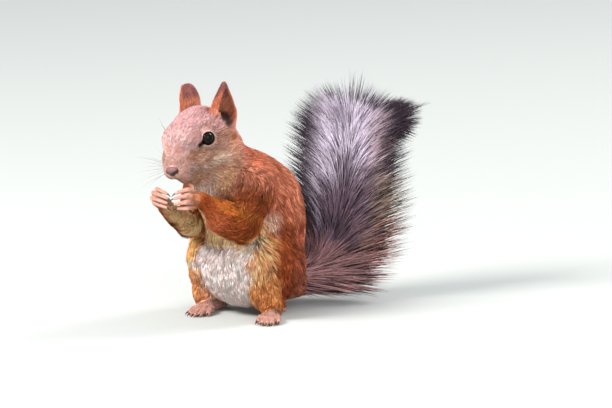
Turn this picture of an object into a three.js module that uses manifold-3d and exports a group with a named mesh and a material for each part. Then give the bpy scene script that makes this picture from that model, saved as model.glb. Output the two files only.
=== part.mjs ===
// A red squirrel sitting up on its haunches with both forepaws raised to its mouth and its
// brush held up behind it. Units are millimetres, +Z is up, and the animal faces -Y, so that
// its left side is towards +X. Every solid reaches out to the tips of the coat.
import * as THREE from "three";
import { mergeVertices } from "three/addons/utils/BufferGeometryUtils.js";
import Module from "manifold-3d";

const wasm = await Module();
wasm.setup();

// ---- Driving dimensions -------------------------------------------------------------------

const GAP = 0.3; // the thin cut between neighbouring parts

const EYE_HEIGHT = 122; // floor to the point midway between the eyes
const HEAD_FORWARD = 58; // that point, ahead of the middle of the haunches
const HEAD_TURN = 14; // degrees, to the animal's left
const HEAD_NOD = 20; // degrees, nose down
const HEAD_TILT = 6; // degrees, left side up
const EYE_RADIUS = 5;
const EYE_APART = 14.5; // from the middle plane of the head to the middle of an eyeball
const EAR_WIDTH = 19.4;
const EAR_WALL = 2.4;
const EAR_OUT = 72; // degrees from straight ahead that the ear opens towards

// Each ear's length, and its outline from foot to tip as shares of its width and its length. The
// left one is drawn up to a point and the right one is held back, with a round top.
const EARS = {
  left: {
    length: 24,
    outline: [[0.9, 0], [1, 0.08], [0.99, 0.27], [0.65, 0.55], [0.33, 0.8], [0, 1]],
  },
  right: {
    length: 22.5,
    outline: [[0.8, 0], [0.92, 0.2], [0.92, 0.5], [0.82, 0.68], [0.55, 0.88], [0, 1]],
  },
};

const HAUNCH_HALF_WIDTH = 37;
const HAUNCH_HALF_DEPTH = 42;
const FINGER_RADIUS = 1.7;
const TOE_RADIUS = 2;
const FOOT_LENGTH = 46;
const SOLE_FLAT = 0.5; // how much of each round pad is cut away to stand on

const BRUSH_HALF_WIDTH = 41.5;
const BRUSH_HALF_THICKNESS = 17;

// Each skin is drawn in steps of this size, and then thinned out where it is flat to this.
const FINE = { head: 5, arm: 6.9, body: 9.5, tail: 11.2 };
const ERROR = 0.25;

const point = (x, y, z) => new THREE.Vector3(x, y, z);
const SIDES = [
  { name: "left", s: 1 },
  { name: "right", s: -1 },
];

// ---- Distance fields: each is a function of a point, negative inside ----------------------

// An ellipsoid, from its middle and its three half-widths.
function ball(middle, halves) {
  const [a, b, c] = halves;
  return (p) => {
    const x = p.x - middle.x;
    const y = p.y - middle.y;
    const z = p.z - middle.z;
    const near = Math.hypot(x / a, y / b, z / c);
    const slope = Math.hypot(x / (a * a), y / (b * b), z / (c * c));
    return slope > 1e-9 ? (near * (near - 1)) / slope : -Math.min(a, b, c);
  };
}

// A rounded limb from one point to another, with a radius at each end.
function limb(from, to, fromRadius, toRadius) {
  const along = to.clone().sub(from);
  const length2 = along.lengthSq();
  const nearest = new THREE.Vector3();
  return (p) => {
    const t = THREE.MathUtils.clamp(nearest.copy(p).sub(from).dot(along) / length2, 0, 1);
    nearest.copy(along).multiplyScalar(t).add(from);
    return nearest.distanceTo(p) - THREE.MathUtils.lerp(fromRadius, toRadius, t);
  };
}

// Several fields run into each other over a rounded seam about `soft` wide.
function blend(soft, ...fields) {
  return (p) =>
    fields.reduce((nearest, field) => {
      const d = field(p);
      const h = Math.max(soft - Math.abs(nearest - d), 0) / soft;
      return Math.min(nearest, d) - (h * h * soft) / 4;
    }, 1e3);
}

// A field that was made in a frame of its own, read in the part's frame.
function placed(matrix, field) {
  const inverse = matrix.clone().invert();
  const local = new THREE.Vector3();
  return (p) => field(local.copy(p).applyMatrix4(inverse));
}

// A long flat brush: an oval section carried along a curve, widest along `spread`.
function brush(stations) {
  const middles = stations.map((s) => s.middle);
  const curve = new THREE.CatmullRomCurve3(middles, false, "centripetal");
  const count = 60;
  const rows = [];
  for (let i = 0; i <= count; i++) {
    const t = i / count;
    const at = t * (stations.length - 1);
    const low = Math.min(Math.floor(at), stations.length - 2);
    const mix = at - low;
    const pick = (key) => THREE.MathUtils.lerp(stations[low][key], stations[low + 1][key], mix);
    const along = curve.getTangent(t);
    const turn = THREE.MathUtils.degToRad(pick("turn"));
    const spread = point(Math.cos(turn), Math.sin(turn), 0);
    spread.addScaledVector(along, -spread.dot(along)).normalize();
    const thick = new THREE.Vector3().crossVectors(along, spread);
    rows.push({ c: curve.getPoint(t), along, spread, thick, w: pick("wide"), h: pick("deep") });
  }
  const d = new THREE.Vector3();
  return (p) => {
    let nearest = 1e3;
    for (const row of rows) {
      d.copy(p).sub(row.c);
      const near = Math.hypot(
        d.dot(row.spread) / row.w,
        d.dot(row.thick) / row.h,
        d.dot(row.along) / row.h,
      );
      nearest = Math.min(nearest, (near - 1) * row.h);
    }
    return nearest;
  };
}

// ---- From fields and geometries to closed solids ------------------------------------------

function solidOf(geometry) {
  const bare = geometry.clone();
  bare.deleteAttribute("normal");
  bare.deleteAttribute("uv");
  const merged = mergeVertices(bare, 1e-4);
  return new wasm.Manifold(
    new wasm.Mesh({
      numProp: 3,
      vertProperties: new Float32Array(merged.attributes.position.array),
      triVerts: new Uint32Array(merged.index.array),
    }),
  );
}

function geometryOf(solid) {
  const mesh = solid.getMesh();
  const places = new Float32Array(mesh.numVert * 3);
  for (let i = 0; i < mesh.numVert; i++) {
    places.set(mesh.vertProperties.subarray(i * mesh.numProp, i * mesh.numProp + 3), i * 3);
  }
  return new THREE.BufferGeometry()
    .setAttribute("position", new THREE.BufferAttribute(places, 3))
    .setIndex(new THREE.BufferAttribute(mesh.triVerts, 1));
}

const biggest = (solid) =>
  solid.decompose().reduce((best, body) => (body.volume() > best.volume() ? body : best));

// A cube's corners are numbered 0 to 7, with a bit each for its step along x, y and z.
const EDGES = [];
const FACES = [];
for (let bit = 0; bit < 3; bit++) {
  const [ahead, u, v] = [1 << bit, 1 << (bit + 1) % 3, 1 << (bit + 2) % 3];
  for (const from of [0, u, u + v, v]) EDGES.push([from, from + ahead]);
  for (const base of [0, ahead]) FACES.push([base, base + u, base + u + v, base + v]);
}
const edgeBetween = (a, b) => EDGES.findIndex(([m, n]) => m + n === a + b && (m === a || n === a));

// The sheets in which the skin passes through a cube, each a list of the edges it crosses, for
// one choice of which corners are inside.
function sheetsOf(inside) {
  const isIn = (corner) => ((inside >> corner) & 1) === 1;
  const sheet = EDGES.map((_, n) => n);
  const join = (a, b) => {
    const [to, from] = [sheet[a], sheet[b]];
    sheet.forEach((mark, n) => (sheet[n] = mark === from ? to : mark));
  };
  for (const face of FACES) {
    const sides = face.map((corner, n) => edgeBetween(corner, face[(n + 1) % 4]));
    const crossed = sides.filter((_, n) => isIn(face[n]) !== isIn(face[(n + 1) % 4]));
    if (crossed.length === 2) join(...crossed);
    if (crossed.length === 4) {
      face.forEach((corner, n) => isIn(corner) && join(sides[(n + 3) % 4], sides[n]));
    }
  }
  const crossed = EDGES.map((_, n) => n).filter((n) => isIn(EDGES[n][0]) !== isIn(EDGES[n][1]));
  return [...new Set(crossed.map((n) => sheet[n]))].map((mark) =>
    crossed.filter((n) => sheet[n] === mark),
  );
}
const SHEETS = Array.from({ length: 256 }, (_, inside) => sheetsOf(inside));

// The closed skin where a field is zero, inside a box. Each sheet in each cube gets a vertex, and
// each grid edge that the skin crosses gets a four-sided face between the cubes around it.
function skinOf(field, box, cell) {
  const counts = box.getSize(new THREE.Vector3()).divideScalar(cell).ceil().addScalar(1);
  const [nx, ny, nz] = counts.toArray();
  const strides = [1, nx, nx * ny];
  const offsetOf = (corner) => strides.reduce((sum, n, bit) => sum + ((corner >> bit) & 1) * n, 0);
  const offsets = [0, 1, 2, 3, 4, 5, 6, 7].map(offsetOf);
  const cells = [];
  const values = new Float32Array(nx * ny * nz);
  const p = new THREE.Vector3();
  for (let k = 0; k < nz; k++) {
    for (let j = 0; j < ny; j++) {
      for (let i = 0; i < nx; i++) {
        p.set(i, j, k).multiplyScalar(cell).add(box.min);
        const outer = i * j * k === 0 || i === nx - 1 || j === ny - 1 || k === nz - 1;
        const at = i + j * nx + k * nx * ny;
        values[at] = outer ? cell : field(p) || 1e-6;
        if (i < nx - 1 && j < ny - 1 && k < nz - 1) cells.push({ at, low: p.clone() });
      }
    }
  }
  const places = [];
  const vertexOn = new Map();
  for (const { at, low } of cells) {
    const inside = offsets.reduce((mask, n, c) => mask | (values[at + n] < 0 ? 1 << c : 0), 0);
    for (const sheet of SHEETS[inside]) {
      p.set(0, 0, 0);
      for (const edge of sheet) {
        const [a, b] = EDGES[edge];
        const t = values[at + offsets[a]] / (values[at + offsets[a]] - values[at + offsets[b]]);
        const steps = [0, 1, 2].map((bit) => ((a >> bit) & 1) + t * (((b - a) >> bit) & 1));
        p.add(point(...steps));
        vertexOn.set(at * 12 + edge, places.length / 3);
      }
      p.multiplyScalar(cell / sheet.length).add(low);
      places.push(...settled(p, field, cell).toArray());
    }
  }
  const triangles = [];
  for (const { at } of cells) {
    for (let bit = 0; bit < 3; bit++) {
      const here = values[at] < 0;
      if (here === values[at + strides[bit]] < 0) continue;
      const [ahead, u, v] = [bit, (bit + 1) % 3, (bit + 2) % 3];
      const ring = [0, 1 << u, (1 << u) + (1 << v), 1 << v].map((corner) =>
        vertexOn.get((at - offsets[corner]) * 12 + edgeBetween(corner, corner + (1 << ahead))),
      );
      if (!here) ring.reverse();
      triangles.push(ring[0], ring[1], ring[2], ring[0], ring[2], ring[3]);
    }
  }
  return new THREE.BufferGeometry()
    .setAttribute("position", new THREE.BufferAttribute(new Float32Array(places), 3))
    .setIndex(triangles);
}

// A point moved onto the skin, by at most a third of a cell.
function settled(p, field, cell) {
  const step = 0.05 * cell;
  const here = field(p);
  const slope = point(
    field(point(p.x + step, p.y, p.z)) - here,
    field(point(p.x, p.y + step, p.z)) - here,
    field(point(p.x, p.y, p.z + step)) - here,
  ).divideScalar(step);
  const move = slope.multiplyScalar(-here / Math.max(slope.lengthSq(), 0.2));
  return p.clone().add(move.clampLength(0, cell / 3));
}

const boxOf = (lo, hi) => new THREE.Box3(point(...lo), point(...hi));

const skinSolid = (field, box, cell) => solidOf(skinOf(field, box, cell)).simplify(ERROR);

// A closed ellipsoid.
function roundSolid(middle, halves, grow = 0, segments = 10) {
  const geometry = new THREE.SphereGeometry(1, segments, Math.round(segments * 0.7));
  geometry.scale(halves[0] + grow, halves[1] + grow, halves[2] + grow);
  return solidOf(geometry.translate(middle.x, middle.y, middle.z));
}

// A closed taper with round ends.
function taperSolid(from, to, fromRadius, toRadius, grow = 0, segments = 6) {
  const length = from.distanceTo(to);
  const [a, b] = [fromRadius + grow, toRadius + grow];
  const profile = [
    new THREE.Vector2(0, -0.85 * a),
    new THREE.Vector2(0.86 * a, -0.5 * a),
    new THREE.Vector2(a, 0.3 * a),
    new THREE.Vector2(b, length - 0.3 * b),
    new THREE.Vector2(0.86 * b, length + 0.5 * b),
    new THREE.Vector2(0, length + 0.85 * b),
  ];
  const geometry = new THREE.LatheGeometry(profile, segments);
  const toward = to.clone().sub(from).normalize();
  geometry.applyQuaternion(new THREE.Quaternion().setFromUnitVectors(point(0, 1, 0), toward));
  return solidOf(geometry.translate(from.x, from.y, from.z));
}

// A closed digit that bends at its middle joint and narrows to the claw.
function digitSolid(root, bend, tip, radius, grow = 0) {
  const rings = [
    [root, radius + 0.2],
    [bend, radius],
    [tip, 0.55 * radius],
  ];
  const places = [];
  const toward = tip.clone().sub(root).normalize();
  const side = point(toward.z, toward.x, toward.y).cross(toward).normalize();
  const up = new THREE.Vector3().crossVectors(toward, side);
  for (const [middle, r] of rings) {
    for (let n = 0; n < 6; n++) {
      const turn = (n * Math.PI) / 3;
      const q = middle.clone().addScaledVector(side, Math.cos(turn) * (r + grow));
      places.push(...q.addScaledVector(up, Math.sin(turn) * (r + grow)).toArray());
    }
  }
  places.push(...root.clone().addScaledVector(toward, -grow).toArray());
  places.push(...tip.clone().addScaledVector(toward, radius * 0.6 + grow).toArray());
  const triangles = [];
  for (let n = 0; n < 6; n++) {
    const m = (n + 1) % 6;
    triangles.push(18, m, n, 19, 12 + n, 12 + m);
    for (const low of [0, 6]) {
      triangles.push(low + n, low + m, low + 6 + m, low + n, low + 6 + m, low + 6 + n);
    }
  }
  const geometry = new THREE.BufferGeometry()
    .setAttribute("position", new THREE.BufferAttribute(new Float32Array(places), 3))
    .setIndex(triangles);
  return solidOf(geometry);
}

const joined = (solids) => solids.reduce((sum, solid) => sum.add(solid));

// ---- The head -----------------------------------------------------------------------------

const degrees = THREE.MathUtils.degToRad;
const headFrame = new THREE.Matrix4()
  .makeTranslation(0, -HEAD_FORWARD, EYE_HEIGHT)
  .multiply(new THREE.Matrix4().makeRotationZ(degrees(HEAD_TURN)))
  .multiply(new THREE.Matrix4().makeRotationX(degrees(HEAD_NOD)))
  .multiply(new THREE.Matrix4().makeRotationY(degrees(-HEAD_TILT)));
const onHead = (x, y, z) => point(x, y, z).applyMatrix4(headFrame);

const headField = placed(
  headFrame,
  blend(
    6,
    ball(point(0, 13, 0), [18, 20, 16]),
    ball(point(0, -3, 4), [14.3, 16, 11.2]),
    limb(point(0, -4, -5), point(0, -21, -9), 12, 6.5),
    ball(point(4.2, -19, -10), [6.2, 7.6, 6.9]),
    ball(point(-4.2, -19, -10), [6.2, 7.6, 6.9]),
    ball(point(9.5, 5, -9), [9, 14, 11]),
    ball(point(-9.5, 5, -9), [9, 14, 11]),
    limb(point(0, 1, -21.5), point(0, -15.5, -18.4), 9.6, 4.4),
  ),
);

// ---- The trunk, the neck and the limbs ----------------------------------------------------

const shoulder = (s) => point(24 * s, -19, 91);
const ELBOW = { left: point(29, -37, 66), right: point(-25, -32, 59) };
const WRIST = { left: point(15, -61, 85), right: point(-7, -71, 81) };
const KNUCKLES = { left: point(11, -70, 88), right: point(-3, -79, 86) };
const hip = (s) => point(17 * s, 8, 32);
const KNEE = { left: point(27, -17, 44), right: point(-24, -13, 41) };
const HEEL = { left: point(23, 2, 5.4), right: point(-23, -3, 5.4) };
const FOOT_TURN = { left: 34, right: -16 }; // degrees outwards from straight ahead

const neckField = limb(point(0, -14, 90), onHead(0, 14, -4), 25, 18);
const trunkField = blend(
  12,
  ball(point(0, 3, 33), [HAUNCH_HALF_WIDTH - 3, HAUNCH_HALF_DEPTH - 3, 34]),
  ball(point(0, 3, 60), [33, 37, 32]),
  ball(point(0, 3, 80), [30, 33, 27]),
  ball(point(0, -13, 82), [29, 31, 27]),
  neckField,
);
const legField = (side, s) =>
  blend(
    8,
    limb(hip(s), KNEE[side], 22, 15),
    limb(KNEE[side], HEEL[side].clone().add(point(0, 0, 4)), 14, 8),
    limb(KNEE[side], point(22 * s, -18, 14), 14, 7.5),
  );
const ARM = { left: [15.5, 12.3, 11.8, 6.4], right: [13.5, 8.6, 7.8, 6] }; // down to the wrist
const armField = (side, s) => {
  const [top, elbow, below, wrist] = ARM[side];
  const middle = ELBOW[side].clone().lerp(WRIST[side], 0.45);
  return blend(
    5,
    limb(shoulder(s), ELBOW[side], top, elbow),
    limb(ELBOW[side], middle, elbow, below),
    limb(middle, WRIST[side], below, wrist),
  );
};

// ---- The brush ----------------------------------------------------------------------------

const W = BRUSH_HALF_WIDTH;
const H = BRUSH_HALF_THICKNESS;
const stations = [
  { middle: point(0, 34, 15), turn: 0, wide: 0.47 * W, deep: 0.8 * H },
  { middle: point(3, 55, 14), turn: 15, wide: 0.58 * W, deep: 0.85 * H },
  { middle: point(7, 69, 26), turn: 30, wide: 0.82 * W, deep: H },
  { middle: point(13, 74, 48), turn: 35, wide: W, deep: H },
  { middle: point(15, 78, 73), turn: 35, wide: W, deep: H },
  { middle: point(15, 81, 95), turn: 35, wide: W, deep: H },
  { middle: point(18, 86, 108), turn: 35, wide: 0.99 * W, deep: 1.1 * H },
  { middle: point(25, 96, 121), turn: 35, wide: 0.9 * W, deep: 1.1 * H },
  { middle: point(36, 110, 125), turn: 35, wide: 0.5 * W, deep: 0.9 * H },
];
const tailField = brush(stations);

const fleshField = blend(
  5,
  trunkField,
  headField,
  ...SIDES.map(({ name, s }) => legField(name, s)),
  ...SIDES.map(({ name, s }) => armField(name, s)),
  tailField,
);

// ---- Hands, feet, ears, eyes and nose, each with a size that can grow ---------------------

function hand(side, s, grow = 0) {
  const knuckles = KNUCKLES[side];
  const reach = knuckles.clone().sub(WRIST[side]).normalize();
  const inward = onHead(-1, 0, 0).sub(onHead(0, 0, 0)).multiplyScalar(s);
  const across = new THREE.Vector3().crossVectors(inward, reach).normalize();
  const solids = [taperSolid(WRIST[side], knuckles, 4.6, 4.2, grow)];
  for (const n of [-1.5, -0.5, 0.5, 1.5]) {
    const root = knuckles.clone().addScaledVector(across, n * 2.6);
    const bend = root.clone().addScaledVector(reach, 4).addScaledVector(inward, 3);
    const tip = bend.clone().addScaledVector(reach, -0.5).addScaledVector(inward, 5);
    solids.push(digitSolid(root, bend, tip, FINGER_RADIUS, grow));
  }
  return joined(solids);
}

function foot(side, s, grow = 0) {
  const turn = degrees(FOOT_TURN[side] * s);
  const ahead = point(Math.sin(turn), -Math.cos(turn), 0);
  const across = point(Math.cos(turn), Math.sin(turn), 0);
  const heel = HEEL[side];
  const ball = heel.clone().addScaledVector(ahead, 0.5 * FOOT_LENGTH).setZ(4.6);
  const solids = [taperSolid(heel, ball, 5.4 + SOLE_FLAT, 4.6 + SOLE_FLAT, grow)];
  for (const n of [-2, -1, 0, 1, 2]) {
    const long = (0.42 - 0.035 * n * n) * FOOT_LENGTH;
    const root = ball.clone().addScaledVector(across, n * 2.5).setZ(TOE_RADIUS + 0.6);
    const tip = root.clone().addScaledVector(ahead, long).addScaledVector(across, n * 1.1);
    tip.setZ(TOE_RADIUS - SOLE_FLAT);
    const bend = root.clone().lerp(tip, 0.55);
    solids.push(digitSolid(root, bend, tip, TOE_RADIUS, grow));
  }
  return joined(solids);
}

// A leaf-shaped ear with a hollow front, standing on the head.
function ear(name, s, grow = 0) {
  const { length, outline } = EARS[name];
  const profile = [[0, 0], ...outline].map(([wide, high]) => {
    const out = wide ? grow * 1.7 : 0;
    return new THREE.Vector2((wide * EAR_WIDTH) / 2 + out, high * (length + 2 * grow) - grow);
  });
  const leaf = new THREE.LatheGeometry(profile, 10).scale(1, 1, 0.72);
  const hollow = leaf.clone().scale(0.74, 0.8, 0.8).translate(0, 6, EAR_WALL + 0.6);
  const stand = new THREE.Matrix4()
    .makeTranslation(...onHead(13.5 * s, 26, 6).toArray())
    .multiply(new THREE.Matrix4().makeRotationZ(degrees(HEAD_TURN + EAR_OUT * s)))
    .multiply(new THREE.Matrix4().makeRotationX(degrees(4)))
    .multiply(new THREE.Matrix4().makeRotationX(degrees(90)));
  const whole = solidOf(leaf.applyMatrix4(stand));
  return grow ? whole : whole.subtract(solidOf(hollow.applyMatrix4(stand)));
}

const eyeSolid = (s, grow = 0) => {
  const r = EYE_RADIUS;
  return roundSolid(onHead(EYE_APART * s, 1, 2.1), [r, r, r], grow, 10);
};
const noseSolid = (grow = 0) => roundSolid(onHead(0, -26.6, -8), [3.6, 3, 3], grow, 10);

// ---- Cutting the skins into named parts ---------------------------------------------------

const FAR = 400;

// Everything on one side of a plane, or inside a taper, is one part; the gap goes to the rest.
const planeCut = (through, normal) => {
  const n = normal.clone().normalize();
  const at = n.dot(through);
  return {
    take: (solid) => solid.trimByPlane(n.toArray(), at + GAP),
    leave: (solid) => solid.trimByPlane(n.clone().negate().toArray(), -at),
  };
};
const solidCut = (make) => ({
  take: (solid) => solid.intersect(make(0)),
  leave: (solid) => solid.subtract(make(GAP)),
});

const own = new Map();
for (const { name, s } of SIDES) {
  own.set("hand_" + name, (grow) => hand(name, s, grow));
  own.set("foot_" + name, (grow) => foot(name, s, grow));
  own.set("eye_" + name, (grow) => eyeSolid(s, grow));
  own.set("ear_" + name, (grow) => ear(name, s, grow));
}
own.set("nose", noseSolid);

const neckCut = planeCut(point(0, -37, 112), point(0, -0.8, 0.6));
const chestCut = planeCut(point(0, -22, 97), point(0, -0.55, 0.84));
const waistCut = planeCut(point(0, 0, 66), point(0, -0.15, 1));
const tailCut = planeCut(point(0, 46, 20), point(0, 1, 0));
const tailMiddleCut = planeCut(point(0, 70, 42), point(0, 0.1, 1));
const tailTipCut = planeCut(point(0, 82, 104), point(0.1, 0.35, 1));
const floorCut = (solid) => solid.trimByPlane([0, 0, 1], 0);

const armCut = (side, s) =>
  solidCut((grow) => taperSolid(shoulder(s), ELBOW[side], 20, 13, grow, 9));
const forearmCut = (side) =>
  solidCut((grow) => taperSolid(ELBOW[side], WRIST[side], ARM[side][1] + 3.2, 9.5, grow, 9));
const thighCut = (s) =>
  solidCut((grow) =>
    roundSolid(point(34 * s, -1, 36), [22, 37, 33], grow, 12),
  );
const shankCut = (side, s) =>
  solidCut((grow) =>
    roundSolid(HEEL[side].clone().add(point(2 * s, 0, 2)), [15, 17, 13], grow, 12),
  );

const parts = new Map();
const keep = (name, solid) => parts.set(name, biggest(solid.simplify(GAP / 2.5)));

let rest = skinSolid(fleshField, boxOf([-60, -95, -12], [60, 60, 130]), FINE.body);
let arms = skinSolid(fleshField, boxOf([-50, -90, 36], [52, 16, 134]), FINE.arm);
let head = skinSolid(fleshField, boxOf([-35, -100, 80], [40, -5, 156]), FINE.head);
let brushSkin = skinSolid(fleshField, boxOf([-60, 30, -15], [110, 160, 170]), FINE.tail);

for (const [name, make] of own) {
  const grown = make(GAP);
  rest = rest.subtract(grown);
  arms = arms.subtract(grown);
  head = head.subtract(grown);
  keep(name, floorCut(make(0)));
}
head = neckCut.take(head);
rest = neckCut.leave(rest);
arms = neckCut.leave(arms);
for (const { name, s } of SIDES) {
  const forearm = forearmCut(name);
  keep("forearm_" + name, forearm.take(arms));
  arms = forearm.leave(arms);
  rest = forearm.leave(rest);
  head = forearm.leave(head);
  const arm = armCut(name, s);
  keep("upper_arm_" + name, arm.take(arms));
  arms = arm.leave(arms);
  rest = arm.leave(rest);
  head = arm.leave(head);
}
keep("head", head);
rest = floorCut(rest);
brushSkin = floorCut(tailCut.take(brushSkin));
rest = tailCut.leave(rest);
keep("neck", chestCut.take(arms));
rest = chestCut.leave(rest);
for (const { name, s } of SIDES) {
  const thigh = thighCut(s);
  const shank = shankCut(name, s);
  keep("shank_" + name, shank.take(rest));
  rest = shank.leave(rest);
  keep("thigh_" + name, thigh.take(rest));
  rest = thigh.leave(rest);
}
keep("chest", waistCut.take(rest));
keep("haunches", waistCut.leave(rest));
keep("tail_base", tailMiddleCut.leave(brushSkin));
brushSkin = tailMiddleCut.take(brushSkin);
keep("tail_middle", tailTipCut.leave(brushSkin));
keep("tail_tip", tailTipCut.take(brushSkin));

const coats = {
  rust: new THREE.MeshStandardMaterial({ color: 0xb9683f, roughness: 0.95, metalness: 0 }),
  face: new THREE.MeshStandardMaterial({ color: 0xc89a80, roughness: 0.95, metalness: 0 }),
  pale: new THREE.MeshStandardMaterial({ color: 0xdccabc, roughness: 0.95, metalness: 0 }),
  grey: new THREE.MeshStandardMaterial({ color: 0x7d6c72, roughness: 1, metalness: 0 }),
  paw: new THREE.MeshStandardMaterial({ color: 0xc78d72, roughness: 0.7, metalness: 0 }),
  nose: new THREE.MeshStandardMaterial({ color: 0x553632, roughness: 0.5, metalness: 0 }),
  eye: new THREE.MeshStandardMaterial({ color: 0x050404, roughness: 0.05, metalness: 0 }),
};
const coatOf = (name) => {
  const kinds = { head: "face", haunches: "pale", tail: "grey", hand: "paw", foot: "paw" };
  const first = name.split("_")[0];
  return coats[kinds[first] ?? first] ?? coats.rust;
};

const squirrel = new THREE.Group();
for (const [name, solid] of parts) {
  const mesh = new THREE.Mesh(geometryOf(solid), coatOf(name));
  mesh.name = name;
  squirrel.add(mesh);
}

// The origin is on the floor, under the middle of the bounding box.
const extent = new THREE.Box3().setFromObject(squirrel);
const centre = extent.getCenter(new THREE.Vector3());
squirrel.position.set(-centre.x, -centre.y, -extent.min.z);
export default squirrel;
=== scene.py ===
import math

import bpy
import numpy as np
import openvdb
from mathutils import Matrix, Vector, kdtree
from mathutils.bvhtree import BVHTree


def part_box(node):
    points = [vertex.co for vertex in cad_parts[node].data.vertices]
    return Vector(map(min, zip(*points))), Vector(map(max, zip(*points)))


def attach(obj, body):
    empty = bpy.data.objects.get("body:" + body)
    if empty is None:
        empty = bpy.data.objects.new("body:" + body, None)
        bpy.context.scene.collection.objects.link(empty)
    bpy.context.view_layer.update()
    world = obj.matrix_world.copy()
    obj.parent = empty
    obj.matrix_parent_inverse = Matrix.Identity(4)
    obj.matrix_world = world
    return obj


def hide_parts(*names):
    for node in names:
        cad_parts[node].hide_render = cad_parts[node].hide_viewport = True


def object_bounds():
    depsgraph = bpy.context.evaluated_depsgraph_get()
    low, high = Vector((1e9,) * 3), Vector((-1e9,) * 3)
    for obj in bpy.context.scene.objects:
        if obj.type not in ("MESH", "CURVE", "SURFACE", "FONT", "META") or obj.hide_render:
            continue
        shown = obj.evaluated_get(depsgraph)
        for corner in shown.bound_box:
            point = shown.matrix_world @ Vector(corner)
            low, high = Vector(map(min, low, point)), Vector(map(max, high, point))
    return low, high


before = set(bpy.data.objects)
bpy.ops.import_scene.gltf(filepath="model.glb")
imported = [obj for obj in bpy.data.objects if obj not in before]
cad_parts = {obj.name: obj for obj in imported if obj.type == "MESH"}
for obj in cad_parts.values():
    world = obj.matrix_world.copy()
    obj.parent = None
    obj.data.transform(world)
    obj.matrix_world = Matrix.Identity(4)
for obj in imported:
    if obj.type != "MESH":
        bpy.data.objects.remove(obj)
cad_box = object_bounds()

MM = 0.001  # shapes are drawn in millimetres, and what Blender is given is in metres
rng = np.random.default_rng(7)


# ---- Small tools ----


def unit(v):
    return v / np.linalg.norm(v)


def rows_unit(v):
    return v / np.maximum(np.linalg.norm(v, axis=-1, keepdims=True), 1e-9)


def lengths(v):
    return np.linalg.norm(v, axis=1)


def lerp(a, b, t):
    return a + (b - a) * t


def smoothstep(lo, hi, v):
    """Rises smoothly from 0 at lo to 1 at hi, or falls where lo is the greater."""
    t = np.clip((v - lo) / (hi - lo), 0, 1)
    return t * t * (3 - 2 * t)


def interp_rows(u, marks, rows):
    """Rows that are known at some marks, for the places u between them."""
    return np.column_stack([np.interp(u, marks, column) for column in rows.T])


def new_object(name, data):
    made = bpy.data.objects.new(name, data)
    bpy.context.scene.collection.objects.link(made)
    return made


def read(items, value, width, kind=np.float32):
    """One value of each of a mesh's vertices, corners or triangles, as rows."""
    flat = np.empty(len(items) * width, kind)
    items.foreach_get(value, flat)
    return flat.reshape(-1, width)


def read_mesh(mesh):
    """A mesh's vertices in millimetres, and its faces as triangles."""
    mesh.calc_loop_triangles()
    return read(mesh.vertices, "co", 3) / MM, read(mesh.loop_triangles, "vertices", 3, np.int32)


# ---- Places, all taken from the CAD nodes ----

SIDES = (1, -1)  # the animal's left and its right
SIDE_NAME = {1: "left", -1: "right"}


def at(node, fx, fy, fz):
    """A point in a node's box, from 0 at its lowest corner to 1 at its highest, or a little beyond."""
    lo, hi = (np.array(corner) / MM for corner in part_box(node))
    return lo + np.array([fx, fy, fz]) * (hi - lo)


def on_pair(node, left, right):
    """A place in each of a left and a right node."""
    return {1: at(f"{node}_left", *left), -1: at(f"{node}_right", *right)}


CENTRE = (0.5, 0.5, 0.5)
EYE = on_pair("eye", CENTRE, CENTRE)
EYE_RADIUS = 5.0
NOSE = at("nose", *CENTRE)
NOSE_DROP = math.radians(20.1)  # how far below the head's own axis the nose lies, seen from the eyes

between = (EYE[1] + EYE[-1]) / 2
LEFT = unit(EYE[1] - EYE[-1])
toward = NOSE - between
toward = unit(toward - toward.dot(LEFT) * LEFT)
over = np.cross(LEFT, -toward)
AHEAD = toward * math.cos(NOSE_DROP) + over * math.sin(NOSE_DROP)
UP = over * math.cos(NOSE_DROP) - toward * math.sin(NOSE_DROP)
HEAD = np.column_stack([LEFT, -AHEAD, UP])  # to the left, to the back and up, as columns
HEAD_AT = between + 1.0 * AHEAD - 2.1 * UP  # the origin of places on the head, between the eyes


def on_head(x, y, z):
    """A point from its place to the left, to the back and up in the head."""
    return HEAD_AT + HEAD @ np.array([x, y, z], float)


SHOULDER = on_pair("upper_arm", (0.51, 0.545, 0.64), (0.41, 0.51, 0.73))
ELBOW = on_pair("forearm", (0.59, 0.64, 0.38), (0.335, 0.77, 0.33))
WRIST = on_pair("hand", (0.77, 0.80, 0.33), (0.24, 0.72, 0.13))
KNUCKLES = on_pair("hand", (0.63, 0.35, 0.54), (0.22, 0.36, 0.51))
HIP = on_pair("thigh", (0.16, 0.645, 0.385), (0.83, 0.64, 0.38))
KNEE = on_pair("thigh", (0.48, 0.25, 0.59), (0.59, 0.315, 0.53))
HEEL = on_pair("foot", (0.17, 0.88, 0.48), (0.24, 0.90, 0.49))
NAPE = at("neck", 0.42, 0.705, 0.21)
MIDDLE = at("haunches", 0.45, 0.463, 0)  # on the floor under the middle of the trunk


def on_body(x, y, z):
    """A point from its place to the left, to the back and up from the floor under the trunk."""
    return MIDDLE + np.array([x, y, z], float)


BRUSH = [  # the middle line of the tail, up to where its hair fans out
    at("tail_base", 0.315, -0.23, 0.34),
    at("tail_base", 0.36, 0.16, 0.32),
    at("tail_base", 0.42, 0.42, 0.59),
    at("tail_middle", 0.47, 0.45, 0.12),
    at("tail_middle", 0.50, 0.51, 0.45),
    at("tail_middle", 0.50, 0.56, 0.75),
    at("tail_tip", 0.46, 0.38, 0.37),
]
CURL = [  # the last of the tail, turned over backwards
    BRUSH[-2],
    at("tail_tip", 0.50, 0.41, 0.29),
    at("tail_tip", 0.58, 0.53, 0.46),
    at("tail_tip", 0.67, 0.66, 0.52),
]


# ---- Camera, floor and light ----

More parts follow.
